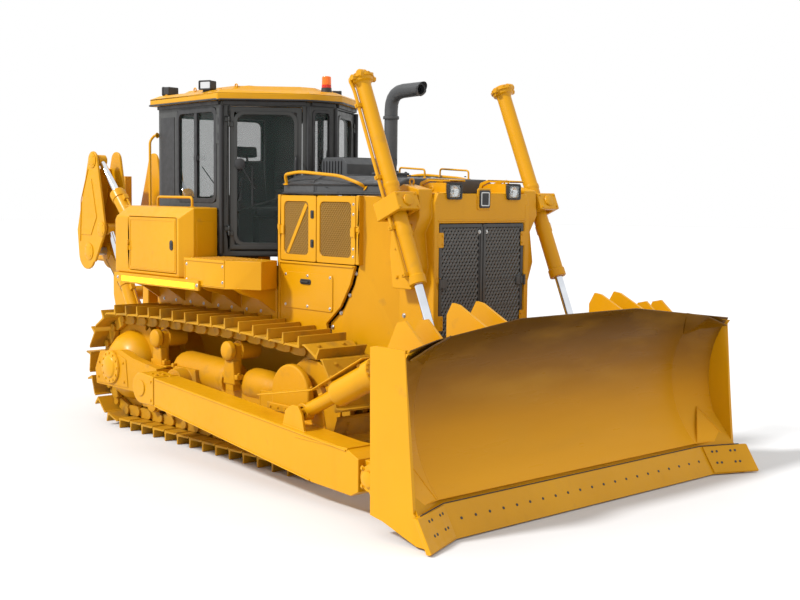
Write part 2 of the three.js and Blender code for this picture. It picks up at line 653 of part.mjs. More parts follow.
function cabDoor() {
  const [s0, s1] = doorSpan;
  const [z0, z1] = doorRise;
  const panel = cut(
    inWall(cabPost, cabFront, s0 + swingGap, s1 - swingGap, 0, wall - 10, z0 + swingGap, z1 - swingGap),
    inWall(cabPost, cabFront, s0 + doorFrame, s1 - doorFrame, -10, wall + 10, z0 + doorFrame, z1 - doorFrame));
  return join(panel, cabHinges.map((h) => h.door));
}
addPair("cab_door", darkPaint, cabDoor());
addPair("door_glass", glass, inWall(cabPost, cabFront, doorSpan[0] + doorFrame + seatGap,
  doorSpan[1] - doorFrame - seatGap, 20, 20 + glassThick, doorRise[0] + doorFrame + seatGap,
  doorRise[1] - doorFrame - seatGap));
addPair("side_window", glass, inWall(cabRear, cabPost, sideWindow.from + seatGap, sideWindow.to - seatGap,
  20, 20 + glassThick, sideWindow.z0 + seatGap, sideWindow.z1 - seatGap));
add("front_window", glass, box(cabFront.x - 28, cabFront.x - 20, seatGap - endWindow.front,
  endWindow.front - seatGap, endWindow.z0 + seatGap, endWindow.z1 - seatGap));
add("rear_window", glass, box(cabRear.x + 20, cabRear.x + 28, seatGap - endWindow.rear,
  endWindow.rear - seatGap, endWindow.z0 + seatGap, endWindow.z1 - seatGap));

function cabRoof() {
  const brim = inset(cabOutline, -70);
  const low = cabTop + seatGap;
  const edge = loft(brim.map(([x, y]) => [x, y, low + 70]), inset(cabOutline, 10).map(([x, y]) =>
    [x, y, low + roofThickness]));
  const slab = prism("z", brim, low, low + 71);
  const raised = inset(cabOutline, 160);
  const hump = loft(raised.map(([x, y]) => [x, y, low + roofThickness - 2]),
    inset(cabOutline, 240).map(([x, y]) => [x, y, low + roofThickness + 55]));
  const beacon = join(
    rod([1620, 200, low + 80], [1620, 200, low + 180], 48),
    rod([1620, 200, low + 175], [1620, 200, low + 285], 42, 24));
  return join(slab, edge, hump, beacon);
}
add("cab_roof", yellow, cabRoof());

add("seat", seatVinyl, join(
  box(560, 900, -150, 150, deckTop + 55 + seatGap, 2260),
  box(520, 1020, -260, 260, 2250, 2380),
  prism("y", [[520, 2250], [400, 2900], [440, 3040], [520, 3040], [560, 2900], [640, 2370]], -240, 240)));

// ---------------------------------------------------------------- push arms
const armInner = trunnion.y - armWidth / 2;
const armOuter = trunnion.y + armWidth / 2;
const capEdge = 1480;
const eyeSplit = armInner + 75;

function trunnionCap() {
  const block = prism("y", [...arc(trunnion.x, trunnion.z, 150, 90, 270, 14), [capEdge, trunnion.z - 145],
    [capEdge, trunnion.z + 130]], eyeSplit + 6, armOuter);
  return cut(block, boreY(trunnion, armInner - 10, trunnion.y + 5, trunnion.r, 24));
}
addPair("trunnion_cap", yellow, trunnionCap());

const ballRadius = 72;
const footBall = 44;
const ballSlack = 10.8; // how far the arm tips draw back at full tilt

function pushArm() {
  const { x, z } = armTip;
  const shaft = prism("y", [[capEdge + 16, trunnion.z - 150], [capEdge + 16, trunnion.z + 125],
    [x - 260, z + armDepthFront / 2 + 15], [x - 130, z + 130], [x - 130, z - 130],
    [x - 220, z - armDepthFront / 2], [x - 700, z - armDepthFront / 2 + 20]], armInner, armOuter);
  const eye = prism("y", [...arc(trunnion.x, trunnion.z, 140, 90, 270, 14), [capEdge + 40, trunnion.z - 140],
    [capEdge + 40, trunnion.z + 120]], armInner, eyeSplit);
  const tongue = prism("y", [[x - 200, z - 120], [x - 200, z + 120], ...arc(x, z, 118, 75, -75, 12)],
    trunnion.y - 60, trunnion.y + 60);
  const socketRadius = ballRadius + 0.9 + ballSlack / 2;
  const socket = rodY({ x: x + ballSlack / 2, z }, trunnion.y - 70, trunnion.y + 70, socketRadius, 28);
  const ear = [[tiltFoot.x - 190, 500], [tiltFoot.x - 130, tiltFoot.z + 10], [tiltFoot.x - 40, tiltFoot.z + 62],
    [tiltFoot.x + 40, tiltFoot.z + 62], [tiltFoot.x + 90, tiltFoot.z], [tiltFoot.x + 170, 400]];
  const foot = join(
    prism("y", ear, tiltFoot.y - 120, tiltFoot.y - 94),
    prism("y", ear, tiltFoot.y + 94, tiltFoot.y + 120),
    rodY(tiltFoot, tiltFoot.y - 100, tiltFoot.y + 100, 28, 12),
    ball([tiltFoot.x, tiltFoot.y, tiltFoot.z], footBall));
  return cut(join(shaft, eye, tongue, foot), boreY(trunnion, armInner - 10, armOuter, trunnion.r, 24),
    socket);
}
addPair("push_arm", yellow, pushArm());

// ---------------------------------------------------------------- blade
const edgeTop = { x: 5270, z: 235 }; // where the mouldboard meets the cutting edge
const edgeTip = { x: 5440, z: 8 };
const boardTop = { x: 5215, z: bladeTop };
const boardDeep = 4965;

// The mouldboard's face: an arc through its foot, its deepest point and its top.
function boardFace(steps) {
  const a = edgeTop;
  const b = boardTop;
  const mid = { x: (a.x + b.x) / 2, z: (a.z + b.z) / 2 };
  const half = Math.hypot(b.x - a.x, b.z - a.z) / 2;
  const sag = mid.x - boardDeep;
  const r = (half * half + sag * sag) / (2 * sag);
  const cx = boardDeep + r;
  const spread = Math.asin(half / r);
  const lean = Math.atan2(b.x - a.x, b.z - a.z);
  return Array.from({ length: steps + 1 }, (_, i) => {
    const t = Math.PI + spread - (2 * spread * i) / steps - lean;
    return [cx + r * Math.cos(t), mid.z + r * Math.sin(t)];
  });
}

// A board section between two widths. Its top comes down outside the crest, and the wing moves forward with width,
// less at its head and foot than at its middle.
function boardPiece(section, y0, y1) {
  const ring = (y) => section.map(([x, z]) => {
    const sweep = Math.max(0, Math.abs(y) - wingStart) * wingSweep;
    const fromMiddle = (z - 900) / 660;
    const outside = Math.max(0, Math.abs(y) - bladeCrest) / (bladeHalfWidth - bladeCrest);
    const height = Math.max(0, z - edgeTop.z) / (bladeTop - edgeTop.z);
    return [x + sweep * (1 - 0.35 * fromMiddle ** 2), y, z - height * (bladeTop - bladeEndTop) * outside];
  });
  return loft(ring(y0), ring(y1));
}

// A section's whole width, in straight runs between the crest, the folds and the ends.
function wholeBoard(section) {
  const stations = [-bladeHalfWidth, -wingStart, -bladeCrest, bladeCrest, wingStart, bladeHalfWidth];
  return stations.slice(1).map((y, i) => boardPiece(section, stations[i], y));
}

function blade() {
  const face = boardFace(8);
  const back = face.map(([x, z]) => [x - plate, z]).reverse();
  const skin = [...face, ...back];
  const board = join(wholeBoard(skin));
  const backX = 4800;
  const boxSection = [[5285, 155], [5277, 237], [5245, 243], [5010, 560], [4900, 600], [backX, 520], [backX, 320],
    [4900, 200]];
  const upperSection = [[4935, 1000], [4830, 1080], [4830, 1230], [5000, 1330], [5040, 1200]];
  const boxes = [boxSection, upperSection].flatMap(wholeBoard);
  const endPlates = [-1, 1].map((s) => prism("y", [[4930, 150], [5070, 128], [5430, 20], [5545, 20], [5425, 225],
    [5400, 250], [5350, 750], [5295, bladeEndTop], [4960, bladeEndTop], [4915, 1400]],
  s * (bladeHalfWidth - 25), s * bladeHalfWidth));
  const bitBacks = [-1, 1].map((s) => loft(
    [[5250, 155], [5284, 155], [5276, 237], [5245, 237]].map(([x, z]) => [x, s * wingStart, z]),
    [[5200, 155], [5479, 155], [5430, 237], [5175, 560]].map(([x, z]) => [x, s * (bladeHalfWidth - 20), z])));
  const rib = [[4900, 420], [4800, 400], [4790, 640], [4700, 820], [4505, 880], [4480, 950], [4505, 1025],
    [4700, 1130], [4700, 1560], [4760, 1660], [4830, 1650], [5130, 1500], [4980, 1200], [4960, 700]];
  const ribs = [-1, 1].flatMap((s) => [-1, 1].map((t) => join(
    prism("y", rib, s * liftEye.y + t * 123, s * liftEye.y + t * 149),
    rodY(liftEye, s * liftEye.y + t * 148, s * liftEye.y + t * 165, 58, 12))));
  const armEars = [-1, 1].flatMap((s) => [-1, 1].map((t) => prism("y",
    [[4860, 200], [armTip.x, armTip.z - 105], ...arc(armTip.x, armTip.z, 105, 250, 110, 8), [4860, 560], [5000, 400]],
    s * trunnion.y + t * 95, s * trunnion.y + t * 128)));
  const balls = [-1, 1].map((s) => join(
    rodY(armTip, s * trunnion.y - 140, s * trunnion.y + 140, 36, 12),
    ball([armTip.x, s * trunnion.y, armTip.z], ballRadius)));
  const tiltEars = [-1, 1].flatMap((s) => [-1, 1].map((t) => join(
    prism("y", [[4990, 1000], [4700, 1150], [4622, 1200], [4610, 1260], [4650, 1330], [4760, 1540], [4850, 1560],
      [5060, 1380]], s * tiltEye.y + t * 100, s * tiltEye.y + t * 126),
    rodY(tiltEye, s * tiltEye.y + t * 125, s * tiltEye.y + t * 142, 50, 12))));
  const gussets = [-1, 1].map((s) => prism("z", [[5125, s * 1560], [5285, s * (bladeHalfWidth - 10)],
    [5150, s * (bladeHalfWidth - 10)]], bladeEndTop - 60, bladeEndTop - 30));
  const whole = join(board, boxes, endPlates, bitBacks, ribs, armEars, balls, tiltEars, gussets);
  return cut(whole, ballHollows());
}

// Space behind the board for the arm tips.
function ballHollows() {
  return [-1, 1].map((s) => cut(
    box(armTip.x - 200, armTip.x + 150, s * trunnion.y - 95, s * trunnion.y + 95, armTip.z - 160, armTip.z + 160),
    rodY(armTip, s * trunnion.y - 100, s * trunnion.y + 100, 36, 12),
    ball([armTip.x, s * trunnion.y, armTip.z], ballRadius)));
}
add("blade", yellow, blade());

function cuttingEdge() {
  const section = [[edgeTop.x + 6, edgeTop.z + 4], [edgeTop.x + 36, edgeTop.z + 8], [edgeTip.x + 14, edgeTip.z + 2],
    [edgeTip.x - 26, edgeTip.z - 2]];
  const ring = (y) => {
    const sweep = Math.max(0, Math.abs(y) - wingStart) * wingSweep;
    return section.map(([x, z]) => [x + 2 * seatGap + sweep, y, z]);
  };
  const end = bladeHalfWidth + 60;
  return join(loft(ring(-wingStart), ring(wingStart)), loft(ring(wingStart), ring(end)),
    loft(ring(-end), ring(-wingStart)));
}
add("cutting_edge", castSteel, cuttingEdge());

// ---------------------------------------------------------------- tilt cylinder (right) and brace (left)
const along = (a, b, d) => {
  const v = new THREE.Vector3(b.x - a.x, b.y - a.y, b.z - a.z).normalize().multiplyScalar(d);
  return [a.x + v.x, a.y + v.y, a.z + v.z];
};
const tiltLength = Math.hypot(tiltEye.x - tiltFoot.x, tiltEye.y - tiltFoot.y, tiltEye.z - tiltFoot.z);

function tiltBarrel() {
  const eye = rodY(tiltFoot, tiltFoot.y - 45, tiltFoot.y + 45, 66, 16);
  const neck = rod(along(tiltFoot, tiltEye, 52), along(tiltFoot, tiltEye, 420), 60);
  const flangeRadius = tiltBarrelRadius + 22;
  const barrel = rod(along(tiltFoot, tiltEye, 400), along(tiltFoot, tiltEye, 860), tiltBarrelRadius,
    tiltBarrelRadius, 24);
  const flange = rod(along(tiltFoot, tiltEye, 800), along(tiltFoot, tiltEye, 880), flangeRadius, flangeRadius, 24);
  const rodBore = bore(along(tiltFoot, tiltEye, 330), along(tiltFoot, tiltEye, 900), tiltRodRadius);
  const pinBore = boreY(tiltFoot, tiltFoot.y - 90, tiltFoot.y + 90, footBall);
  return cut(join(eye, neck, barrel, flange), rodBore, pinBore);
}
add("tilt_cylinder", yellow, mirrored(tiltBarrel()));

function tiltRod() {
  const shaft = rod(along(tiltFoot, tiltEye, 460), along(tiltFoot, tiltEye, tiltLength), tiltRodRadius);
  return join(shaft, rodY(tiltEye, tiltEye.y - 52, tiltEye.y + 52, 68, 16));
}
add("tilt_rod", steel, mirrored(tiltRod()));

add("brace_left", yellow, cut(join(
  rodY(tiltFoot, tiltFoot.y - 45, tiltFoot.y + 45, 66, 16),
  rod(along(tiltFoot, tiltEye, 52), along(tiltFoot, tiltEye, tiltLength), 60),
  rod(along(tiltFoot, tiltEye, 300), along(tiltFoot, tiltEye, 780), 92),
  rodY(tiltEye, tiltEye.y - 52, tiltEye.y + 52, 68, 16)),
boreY(tiltFoot, tiltFoot.y - 90, tiltFoot.y + 90, footBall)));

// ---------------------------------------------------------------- lift cylinders
const liftLength = Math.hypot(liftEye.x - liftYoke.x, liftEye.z - liftYoke.z);
const liftDir = [(liftEye.x - liftYoke.x) / liftLength, (liftEye.z - liftYoke.z) / liftLength];
// A point in the cylinder's own frame: down the rod, across it (forward) and to the left.
const inLift = (down, across, side = 0) => [
  liftYoke.x + down * liftDir[0] - across * liftDir[1], liftYoke.y + side,
  liftYoke.z + down * liftDir[1] + across * liftDir[0]];
const yokePin = 32;

function liftSlab(down0, down1, across0, across1, side0, side1) {
  const corner = (d, a) => [inLift(d, a)[0], inLift(d, a)[2]];
  const outline = [corner(down0, across1), corner(down1, across1), corner(down1, across0), corner(down0, across0)];
  return prism("y", outline, liftYoke.y + side0, liftYoke.y + side1);
}

function yoke() {
  const ring = cut(liftSlab(-80, 80, -150, 150, -128, 128), liftSlab(-90, 90, -104, 104, -82, 82));
  const crossBore = bore(inLift(0, -170), inLift(0, 170), yokePin);
  const trunnionBore = boreY(liftYoke, liftYoke.y - 140, liftYoke.y - 81, 60);
  return cut(ring, crossBore, trunnionBore);
}
addPair("lift_yoke", yellow, yoke());

function liftBarrel() {
  const tube = rod(inLift(-liftBarrelAbove, 0), inLift(liftBarrelBelow, 0), liftBarrelRadius, liftBarrelRadius,
    24);
  const head = rod(inLift(-liftBarrelAbove - 60, 0), inLift(-liftBarrelAbove + 20, 0), 92, 92, 24);
  const gland = rod(inLift(liftBarrelBelow - 70, 0), inLift(liftBarrelBelow + 10, 0), 75);
  const pins = rod(inLift(0, -162), inLift(0, 162), yokePin);
  const rodBore = bore(inLift(60 - liftBarrelAbove, 0), inLift(liftBarrelBelow + 40, 0), liftRodRadius);
  return cut(join(tube, head, gland, pins), rodBore);
}
addPair("lift_barrel", yellow, liftBarrel());

function liftRod() {
  return join(
    rod(inLift(liftLength - liftRodLength, 0), inLift(liftLength, 0), liftRodRadius),
    rodY(liftEye, liftEye.y - 52, liftEye.y + 52, 70, 16));
}
addPair("lift_rod", steel, liftRod());

// ---------------------------------------------------------------- ripper
function ripperBracket() {
  const backPlate = box(-680, -600 - seatGap, -plateOuter, plateOuter, 520, 1960);
  const outerEar = [[-610, 500], [-610, 1960], [-800, 1960], ...arc(pitchFoot.x, pitchFoot.z, 90, 80, 250, 8),
    [-720, 1500], [-760, 900], ...arc(liftFoot.x, liftFoot.z, 95, 120, 300, 8)];
  const linkEar = [[-640, 760], [-640, 1250], [-900, 870], ...arc(linkFoot.x, linkFoot.z, 95, 90, 250, 8),
    [-870, 735]];
  const ears = [-1, 1].flatMap((s) => [
    prism("y", outerEar, s * (plateOuter - ripperPlate), s * plateOuter),
    prism("y", linkEar, s * (linkInner - 45), s * (linkInner - 8)),
    prism("y", linkEar, s * (linkOuter + 6), s * (linkOuter + 24)),
    rodY(linkFoot, s * (linkInner - 40), s * (linkOuter + 20), 48)]);
  const liftPin = rodY(liftFoot, 5 - plateOuter, plateOuter - 5, 36);
  return cut(join(backPlate, ears, liftPin), boreY(pitchFoot, -700, 700, 38));
}
add("ripper_bracket", yellow, ripperBracket());

function ripperLink() {
  const arms = [-1, 1].map((s) => join(
    rodY(linkFoot, s * linkInner, s * linkOuter, 92),
    rodY(beamPin, s * linkInner, s * linkOuter, 95),
    prism("y", [[linkFoot.x - 20, linkFoot.z - 75], [linkFoot.x + 60, linkFoot.z + 60],
      [beamPin.x + 60, beamPin.z + 62], [beamPin.x - 60, beamPin.z - 50]].reverse(), s * linkInner, s * linkOuter)));
  const tie = rod([-1500, -linkInner - 5, 1290], [-1500, linkInner + 5, 1290], 85);
  return cut(join(arms, tie), boreY(linkFoot, -600, 600, 48), boreY(beamPin, -600, 600, 50));
}
add("ripper_link", yellow, ripperLink());
add("ripper_pins", steel, rodY(beamPin, 8 - plateOuter, plateOuter - 8, 50));

function ripperBeam() {
  const side = [...arc(pitchEye.x, pitchEye.z, 110, 175, 10, 9), [-1610, 2180], [-1580, 2060], [-1640, 1960],
    [-1840, 1660], ...arc(-2040, 1760, 200, 330, 180, 9), [-2275, 2040]];
  const plates = [-1, 1].flatMap((s) => [
    prism("y", side, s * (plateOuter - ripperPlate), s * plateOuter),
    prism("y", side, s * (plateInner - 5), s * (plateInner + 28))]);
  const web = [-1, 1].map((s) => prism("y", [[-2262, 2040], [-2228, 1770], [-2190, 1770], [-2222, 2045],
    [-1978, 2780], [-2012, 2790]], s * plateInner, s * (plateOuter - 10)));
  const pocket = box(-2440, -1930, -250, 250, 1640, 2110);
  const shankHole = box(-2372, -2048, -shankThickness / 2 - 5, shankThickness / 2 + 5, 1600, 2200);
  return cut(join(plates, web, pocket), shankHole, boreY(beamPin, -700, 700, 50));
}
add("ripper_beam", yellow, ripperBeam());

function ripperShank() {
  const t = shankThickness / 2;
  const outline = [[-2368, shankTop], [-2052, shankTop], [-2052, 1250], [-2000, shankTip + 190],
    [-1860, shankTip + 20], [-1880, shankTip], [-2080, shankTip + 60], [-2250, shankTip + 200], [-2368, 1200]];
  const collar = box(-2400, -2020, -t - 30, t + 30, 2110 + seatGap, 2160);
  return join(prism("y", outline, -t, t), collar);
}
add("ripper_shank", castSteel, ripperShank());

// A cylinder pair in the ripper's lanes, and the rod that slides in each.
const inLine = (a, b, d) => {
  const l = Math.hypot(b.x - a.x, b.z - a.z);
  return [a.x + ((b.x - a.x) * d) / l, a.z + ((b.z - a.z) * d) / l];
};

function lanePipe(a, b, from, to, y, r, sides = 16) {
  const [x0, z0] = inLine(a, b, from);
  const [x1, z1] = inLine(a, b, to);
  return rod([x0, y, z0], [x1, y, z1], r, r, sides);
}

function laneBore(a, b, from, to, y, r) {
  const [x0, z0] = inLine(a, b, from);
  const [x1, z1] = inLine(a, b, to);
  return bore([x0, y, z0], [x1, y, z1], r);
}

function ripperBarrels(foot, eye, length, radius, rodRadius, pin) {
  const each = [-1, 1].map((s) => join(
    lanePipe(foot, eye, 0, length, s * ripperLane, radius),
    lanePipe(foot, eye, length - 70, length + 12, s * ripperLane, radius + 9),
    rodY(foot, s * (ripperLane - 78), s * (ripperLane + 78), pin + 38)));
  const sleeve = rodY(foot, -ripperLane, ripperLane, pin + 24);
  const bores = [-1, 1].map((s) => laneBore(foot, eye, pin + 60, length + 40, s * ripperLane, rodRadius));
  return cut(join(each, sleeve), bores, boreY(foot, -700, 700, pin));
}

function ripperRod(foot, eye, inner, rodRadius) {
  const d = Math.hypot(eye.x - foot.x, eye.z - foot.z);
  return join(lanePipe(foot, eye, inner, d, ripperLane, rodRadius), rodY(eye, ripperLane - 55, ripperLane + 55, 68));
}

const ripperLift = { length: 1010, radius: 80, rodRadius: 40, pin: 36, inner: 560 };
const ripperPitch = { length: 900, radius: 85, rodRadius: 42, pin: 38, inner: 520 };
add("ripper_lift_cylinders", yellow, ripperBarrels(liftFoot, ripperEye, ripperLift.length, ripperLift.radius,
  ripperLift.rodRadius, ripperLift.pin));
addPair("ripper_lift_rod", steel, ripperRod(liftFoot, ripperEye, ripperLift.inner, ripperLift.rodRadius));
add("ripper_pitch_shaft", steel, rodY(pitchFoot, -plateOuter, plateOuter, ripperPitch.pin));
add("ripper_pitch_cylinders", yellow, ripperBarrels(pitchFoot, pitchEye, ripperPitch.length, ripperPitch.radius,
  ripperPitch.rodRadius, ripperPitch.pin));
addPair("ripper_pitch_rod", steel, ripperRod(pitchFoot, pitchEye, ripperPitch.inner, ripperPitch.rodRadius));

// ---------------------------------------------------------------- origin under the middle of the box
const bounds = new THREE.Box3().setFromObject(machine);
machine.position.x = -(bounds.min.x + bounds.max.x) / 2;

export default machine;
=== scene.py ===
"""A crawler bulldozer with a semi-U blade and a raised single-shank ripper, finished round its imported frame.

Pieces are modelled in metres from the sprocket axle: X forward, Y to the machine's left, Z up from the
ground. seated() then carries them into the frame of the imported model.
"""

import json
import math

import bpy
from mathutils import Matrix, Vector

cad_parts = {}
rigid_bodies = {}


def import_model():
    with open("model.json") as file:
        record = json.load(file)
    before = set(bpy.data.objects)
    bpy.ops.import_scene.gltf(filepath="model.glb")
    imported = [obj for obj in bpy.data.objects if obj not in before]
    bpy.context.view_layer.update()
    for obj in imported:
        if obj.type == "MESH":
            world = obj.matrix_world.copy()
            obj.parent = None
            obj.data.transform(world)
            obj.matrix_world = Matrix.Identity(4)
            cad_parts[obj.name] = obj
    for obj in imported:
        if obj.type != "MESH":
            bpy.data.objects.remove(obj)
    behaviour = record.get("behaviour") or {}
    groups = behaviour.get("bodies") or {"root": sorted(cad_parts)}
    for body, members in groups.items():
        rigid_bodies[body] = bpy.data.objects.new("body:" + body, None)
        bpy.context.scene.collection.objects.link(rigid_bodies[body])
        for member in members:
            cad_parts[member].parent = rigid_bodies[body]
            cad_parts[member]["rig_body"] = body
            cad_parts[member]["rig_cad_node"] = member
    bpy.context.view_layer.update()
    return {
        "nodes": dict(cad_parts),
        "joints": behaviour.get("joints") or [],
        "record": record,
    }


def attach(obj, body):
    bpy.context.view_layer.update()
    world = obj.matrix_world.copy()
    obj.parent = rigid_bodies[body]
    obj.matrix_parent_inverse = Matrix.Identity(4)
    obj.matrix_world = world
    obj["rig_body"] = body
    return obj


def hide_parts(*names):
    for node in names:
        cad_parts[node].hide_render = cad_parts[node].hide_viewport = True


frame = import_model()
NODES = frame["nodes"]
BODY_OF = {node: body for body, nodes in frame["record"]["behaviour"]["bodies"].items() for node in nodes}
SLOT_OF = {part["node"]: part["material_slot"] for part in frame["record"]["subparts"]}
TRUNNION_X = 1.25
AXLE = Vector((next(j for j in frame["joints"] if j["name"] == "blade_lift")["pos_m"][0] - TRUNNION_X, 0, 0))
FULL_TURN = 2 * math.pi
UP = Vector((0, 0, 1))
OUT = (0, -1, 0)
SIDES = ("right", "left")


# ---------------------------------------------------------------- modelling helpers
def take(*objects):
    """Makes these the only selected objects, the first of them active."""
    bpy.ops.object.select_all(action="DESELECT")
    for obj in objects:
        obj.select_set(True)
    if objects:
        bpy.context.view_layer.objects.active = objects[0]


def modify(obj, kind, **settings):
    """Puts a modifier on the piece and applies it."""
    take(obj)
    modifier = obj.modifiers.new(kind, kind)
    for key, value in settings.items():
        setattr(modifier, key, value)
    bpy.ops.object.modifier_apply(modifier=modifier.name)
    return obj


def rounded(obj, width=0.003, segments=2, angle=32):
    """The piece with its sharp edges rounded."""
    return modify(obj, "BEVEL", width=width, segments=segments, limit_method="ANGLE",
                  angle_limit=math.radians(angle), use_clamp_overlap=True)


def block(x, y, z, edge=0.003, segments=2):
    """A box between two x, two y and two z, with rounded edges."""
    take()
    bpy.ops.mesh.primitive_cube_add(size=1, location=[sum(pair) / 2 for pair in (x, y, z)])
    obj = bpy.context.object
    obj.scale = [abs(pair[1] - pair[0]) for pair in (x, y, z)]
    bpy.ops.object.transform_apply(location=True, rotation=True, scale=True)
    return rounded(obj, edge, segments) if edge else obj


AXES = {"x": (1, 2, 0), "y": (0, 2, 1), "z": (0, 1, 2)}


def on_axis(axis, first, second, depth):
    """The point whose other two coordinates are first and second, at this depth along the axis."""
    point = [0, 0, 0]
    for index, value in zip(AXES[axis], (first, second, depth)):
        point[index] = value
    return Vector(point)


def ring_of(count, fill):
    """A closed line of this many vertices, filled with a face or not, for its maker to put in place."""
    take()
    bpy.ops.mesh.primitive_circle_add(vertices=count, fill_type=fill, radius=1, location=(0, 0, 0))
    return bpy.context.object


def push(offset):
    """Makes the active flat piece thick by an offset, its normals outward."""
    bpy.ops.object.mode_set(mode="EDIT")
    bpy.ops.mesh.select_all(action="SELECT")
    bpy.ops.mesh.extrude_region_move(TRANSFORM_OT_translate={"value": offset})
    bpy.ops.mesh.select_all(action="SELECT")
    bpy.ops.mesh.normals_make_consistent(inside=False)
    bpy.ops.object.mode_set(mode="OBJECT")


def plate(outline, axis, start, end, edge=0.003, segments=1):
    """A flat outline pushed along an axis, its edges rounded."""
    obj = ring_of(len(outline), "NGON")
    for vertex, (first, second) in zip(obj.data.vertices, outline):
        vertex.co = on_axis(axis, first, second, start)
    push(on_axis(axis, 0, 0, end - start))
    return rounded(obj, edge, segments) if edge else obj


def ring_plate(outer, inner, axis, start, end, edge=0.002):
    """A flat ring between two outlines of as many points, pushed along an axis."""
    obj = ring_of(len(outer), "NOTHING")
    bpy.ops.object.mode_set(mode="EDIT")
    bpy.ops.mesh.select_all(action="SELECT")
    bpy.ops.mesh.extrude_edges_move(TRANSFORM_OT_translate={"value": (0, 0, 1)})
    bpy.ops.object.mode_set(mode="OBJECT")
    for index, (first, second) in enumerate([*outer, *inner]):
        obj.data.vertices[index].co = on_axis(axis, first, second, start)
    push(on_axis(axis, 0, 0, end - start))
    return rounded(obj, edge, 1, 40) if edge else obj


def panel(corners, thickness, edge=0.003, segments=1):
    """A flat plate on 3-D corners, its thickness behind the side they turn counter-clockwise on."""
    corners = [Vector(corner) for corner in corners]
    obj = ring_of(len(corners), "NGON")
    for vertex, corner in zip(obj.data.vertices, corners):
        vertex.co = corner
    normal = (corners[1] - corners[0]).cross(corners[2] - corners[1]).normalized()
    push(-normal * thickness)
    return rounded(obj, edge, segments) if edge else obj


def placed(obj, origin, along, across):
    """Turns a piece made at the origin so that its X runs along and its Y across, from an origin."""
    along, across = Vector(along).normalized(), Vector(across).normalized()
    turn = Matrix((along, across, along.cross(across))).transposed().to_4x4()
    obj.data.transform(Matrix.Translation(Vector(origin)) @ turn)
    return obj


def lattice(axis, across, rise, depth, pitch=0.034, strip=0.007, slope=56):
    """Crossing diagonal strips that fill a rectangle, as in expanded metal."""
    made = []
    for lean in (math.radians(slope), -math.radians(slope)):
        way, normal = (math.cos(lean), math.sin(lean)), (-math.sin(lean), math.cos(lean))
        reach = [a * normal[0] + u * normal[1] for a in across for u in rise]
        offset = min(reach) + pitch / 2
        while offset < max(reach):
            base = (normal[0] * offset, normal[1] * offset)
            spans = [sorted((side - b) / w for side in sides) for b, w,
                     sides in zip(base, way, (across, rise))]
            start, end = max(span[0] for span in spans), min(span[1] for span in spans)
            if end - start > pitch / 3:
                ends = [on_axis(axis, base[0] + way[0] * t, base[1] + way[1] * t,
                                depth) for t in (start, end)]
                made.append(bar(*ends, strip, sides=4, edge=0))
            offset += pitch
    return made


def eye_ring(centre, axis, radius=0.028, wire=0.007):
    """A forged ring, its axis x, y or z."""
    profile = [(wire * math.sin(a),
                radius + wire * math.cos(a)) for a in (FULL_TURN * i / 10 for i in range(10))]
    return turned(profile, centre, on_axis(axis, 0, 0, 1), 28)


def bead(points, radius=0.006):
    """A weld bead laid along points: a low round ridge."""
    return tube(points, radius, 0.0, 8)


def corner_rounded(x0, x1, z0, z1, radius, steps=6):
    """The outline of a rectangle with rounded corners, counter-clockwise from its lower right corner."""
    corners = ((x1 - radius, z0 + radius, -90), (x1 - radius, z1 - radius, 0),
               (x0 + radius, z1 - radius, 90), (x0 + radius, z0 + radius, 180))
    return [point for cx, cz, start in corners for point in arc(cx, cz, radius, start, start + 90, steps)]


def arc(cx, cz, radius, start, end, steps):
    """Points on an arc between two angles in degrees."""
    turns = [math.radians(start + (end - start) * step / steps) for step in range(steps + 1)]
    return [(cx + radius * math.cos(turn), cz + radius * math.sin(turn)) for turn in turns]


def aimed(origin, direction):
    """The matrix that takes +Z at the origin to a direction at a point."""
    turn = Vector(direction).normalized().to_track_quat("Z", "Y").to_matrix().to_4x4()
    return Matrix.Translation(Vector(origin)) @ turn


def bar(start, end, radius, end_radius=None, sides=32, edge=0.0025, segments=2):
    """A round bar or taper between two points, with rounded rims."""
    start, end = Vector(start), Vector(end)
    take()
    bpy.ops.mesh.primitive_cone_add(vertices=sides, radius1=radius,
                                    radius2=radius if end_radius is None else end_radius,
                                    depth=(end - start).length, location=(0, 0, 0))
    obj = bpy.context.object
    obj.data.transform(aimed((start + end) / 2, end - start))
    return rounded(obj, edge, segments, 50) if edge else obj


def turned(profile, origin, direction, sides=32):
    """A shape turned on a lathe: the profile's points are (distance along the direction, radius)."""
    obj = ring_of(len(profile), "NOTHING")
    for vertex, (along, radius) in zip(obj.data.vertices, profile):
        vertex.co = (radius, 0, along)
    bpy.ops.object.mode_set(mode="EDIT")
    bpy.ops.mesh.select_all(action="SELECT")
    bpy.ops.mesh.spin(steps=sides, angle=FULL_TURN, center=(0, 0, 0), axis=(0, 0, 1))
    bpy.ops.mesh.select_all(action="SELECT")
    bpy.ops.mesh.remove_doubles(threshold=0.0001)
    bpy.ops.mesh.normals_make_consistent(inside=False)
    bpy.ops.object.mode_set(mode="OBJECT")
    obj.data.transform(aimed(origin, direction))
    return obj


def bent(corners, radius, steps=5):
    """The corners of a bent tube, each rounded with a radius."""
    corners = [Vector(corner) for corner in corners]
    points = [corners[0]]
    for before, corner, after in zip(corners, corners[1:], corners[2:]):
        back, ahead = (before - corner), (after - corner)
        reach = min(radius, 0.45 * back.length, 0.45 * ahead.length)
        first, last = corner + back.normalized() * reach, corner + ahead.normalized() * reach
        for step in range(steps + 1):
            t = step / steps
            points.append((1 - t) ** 2 * first + 2 * t * (1 - t) * corner + t ** 2 * last)
    return [*points, corners[-1]]


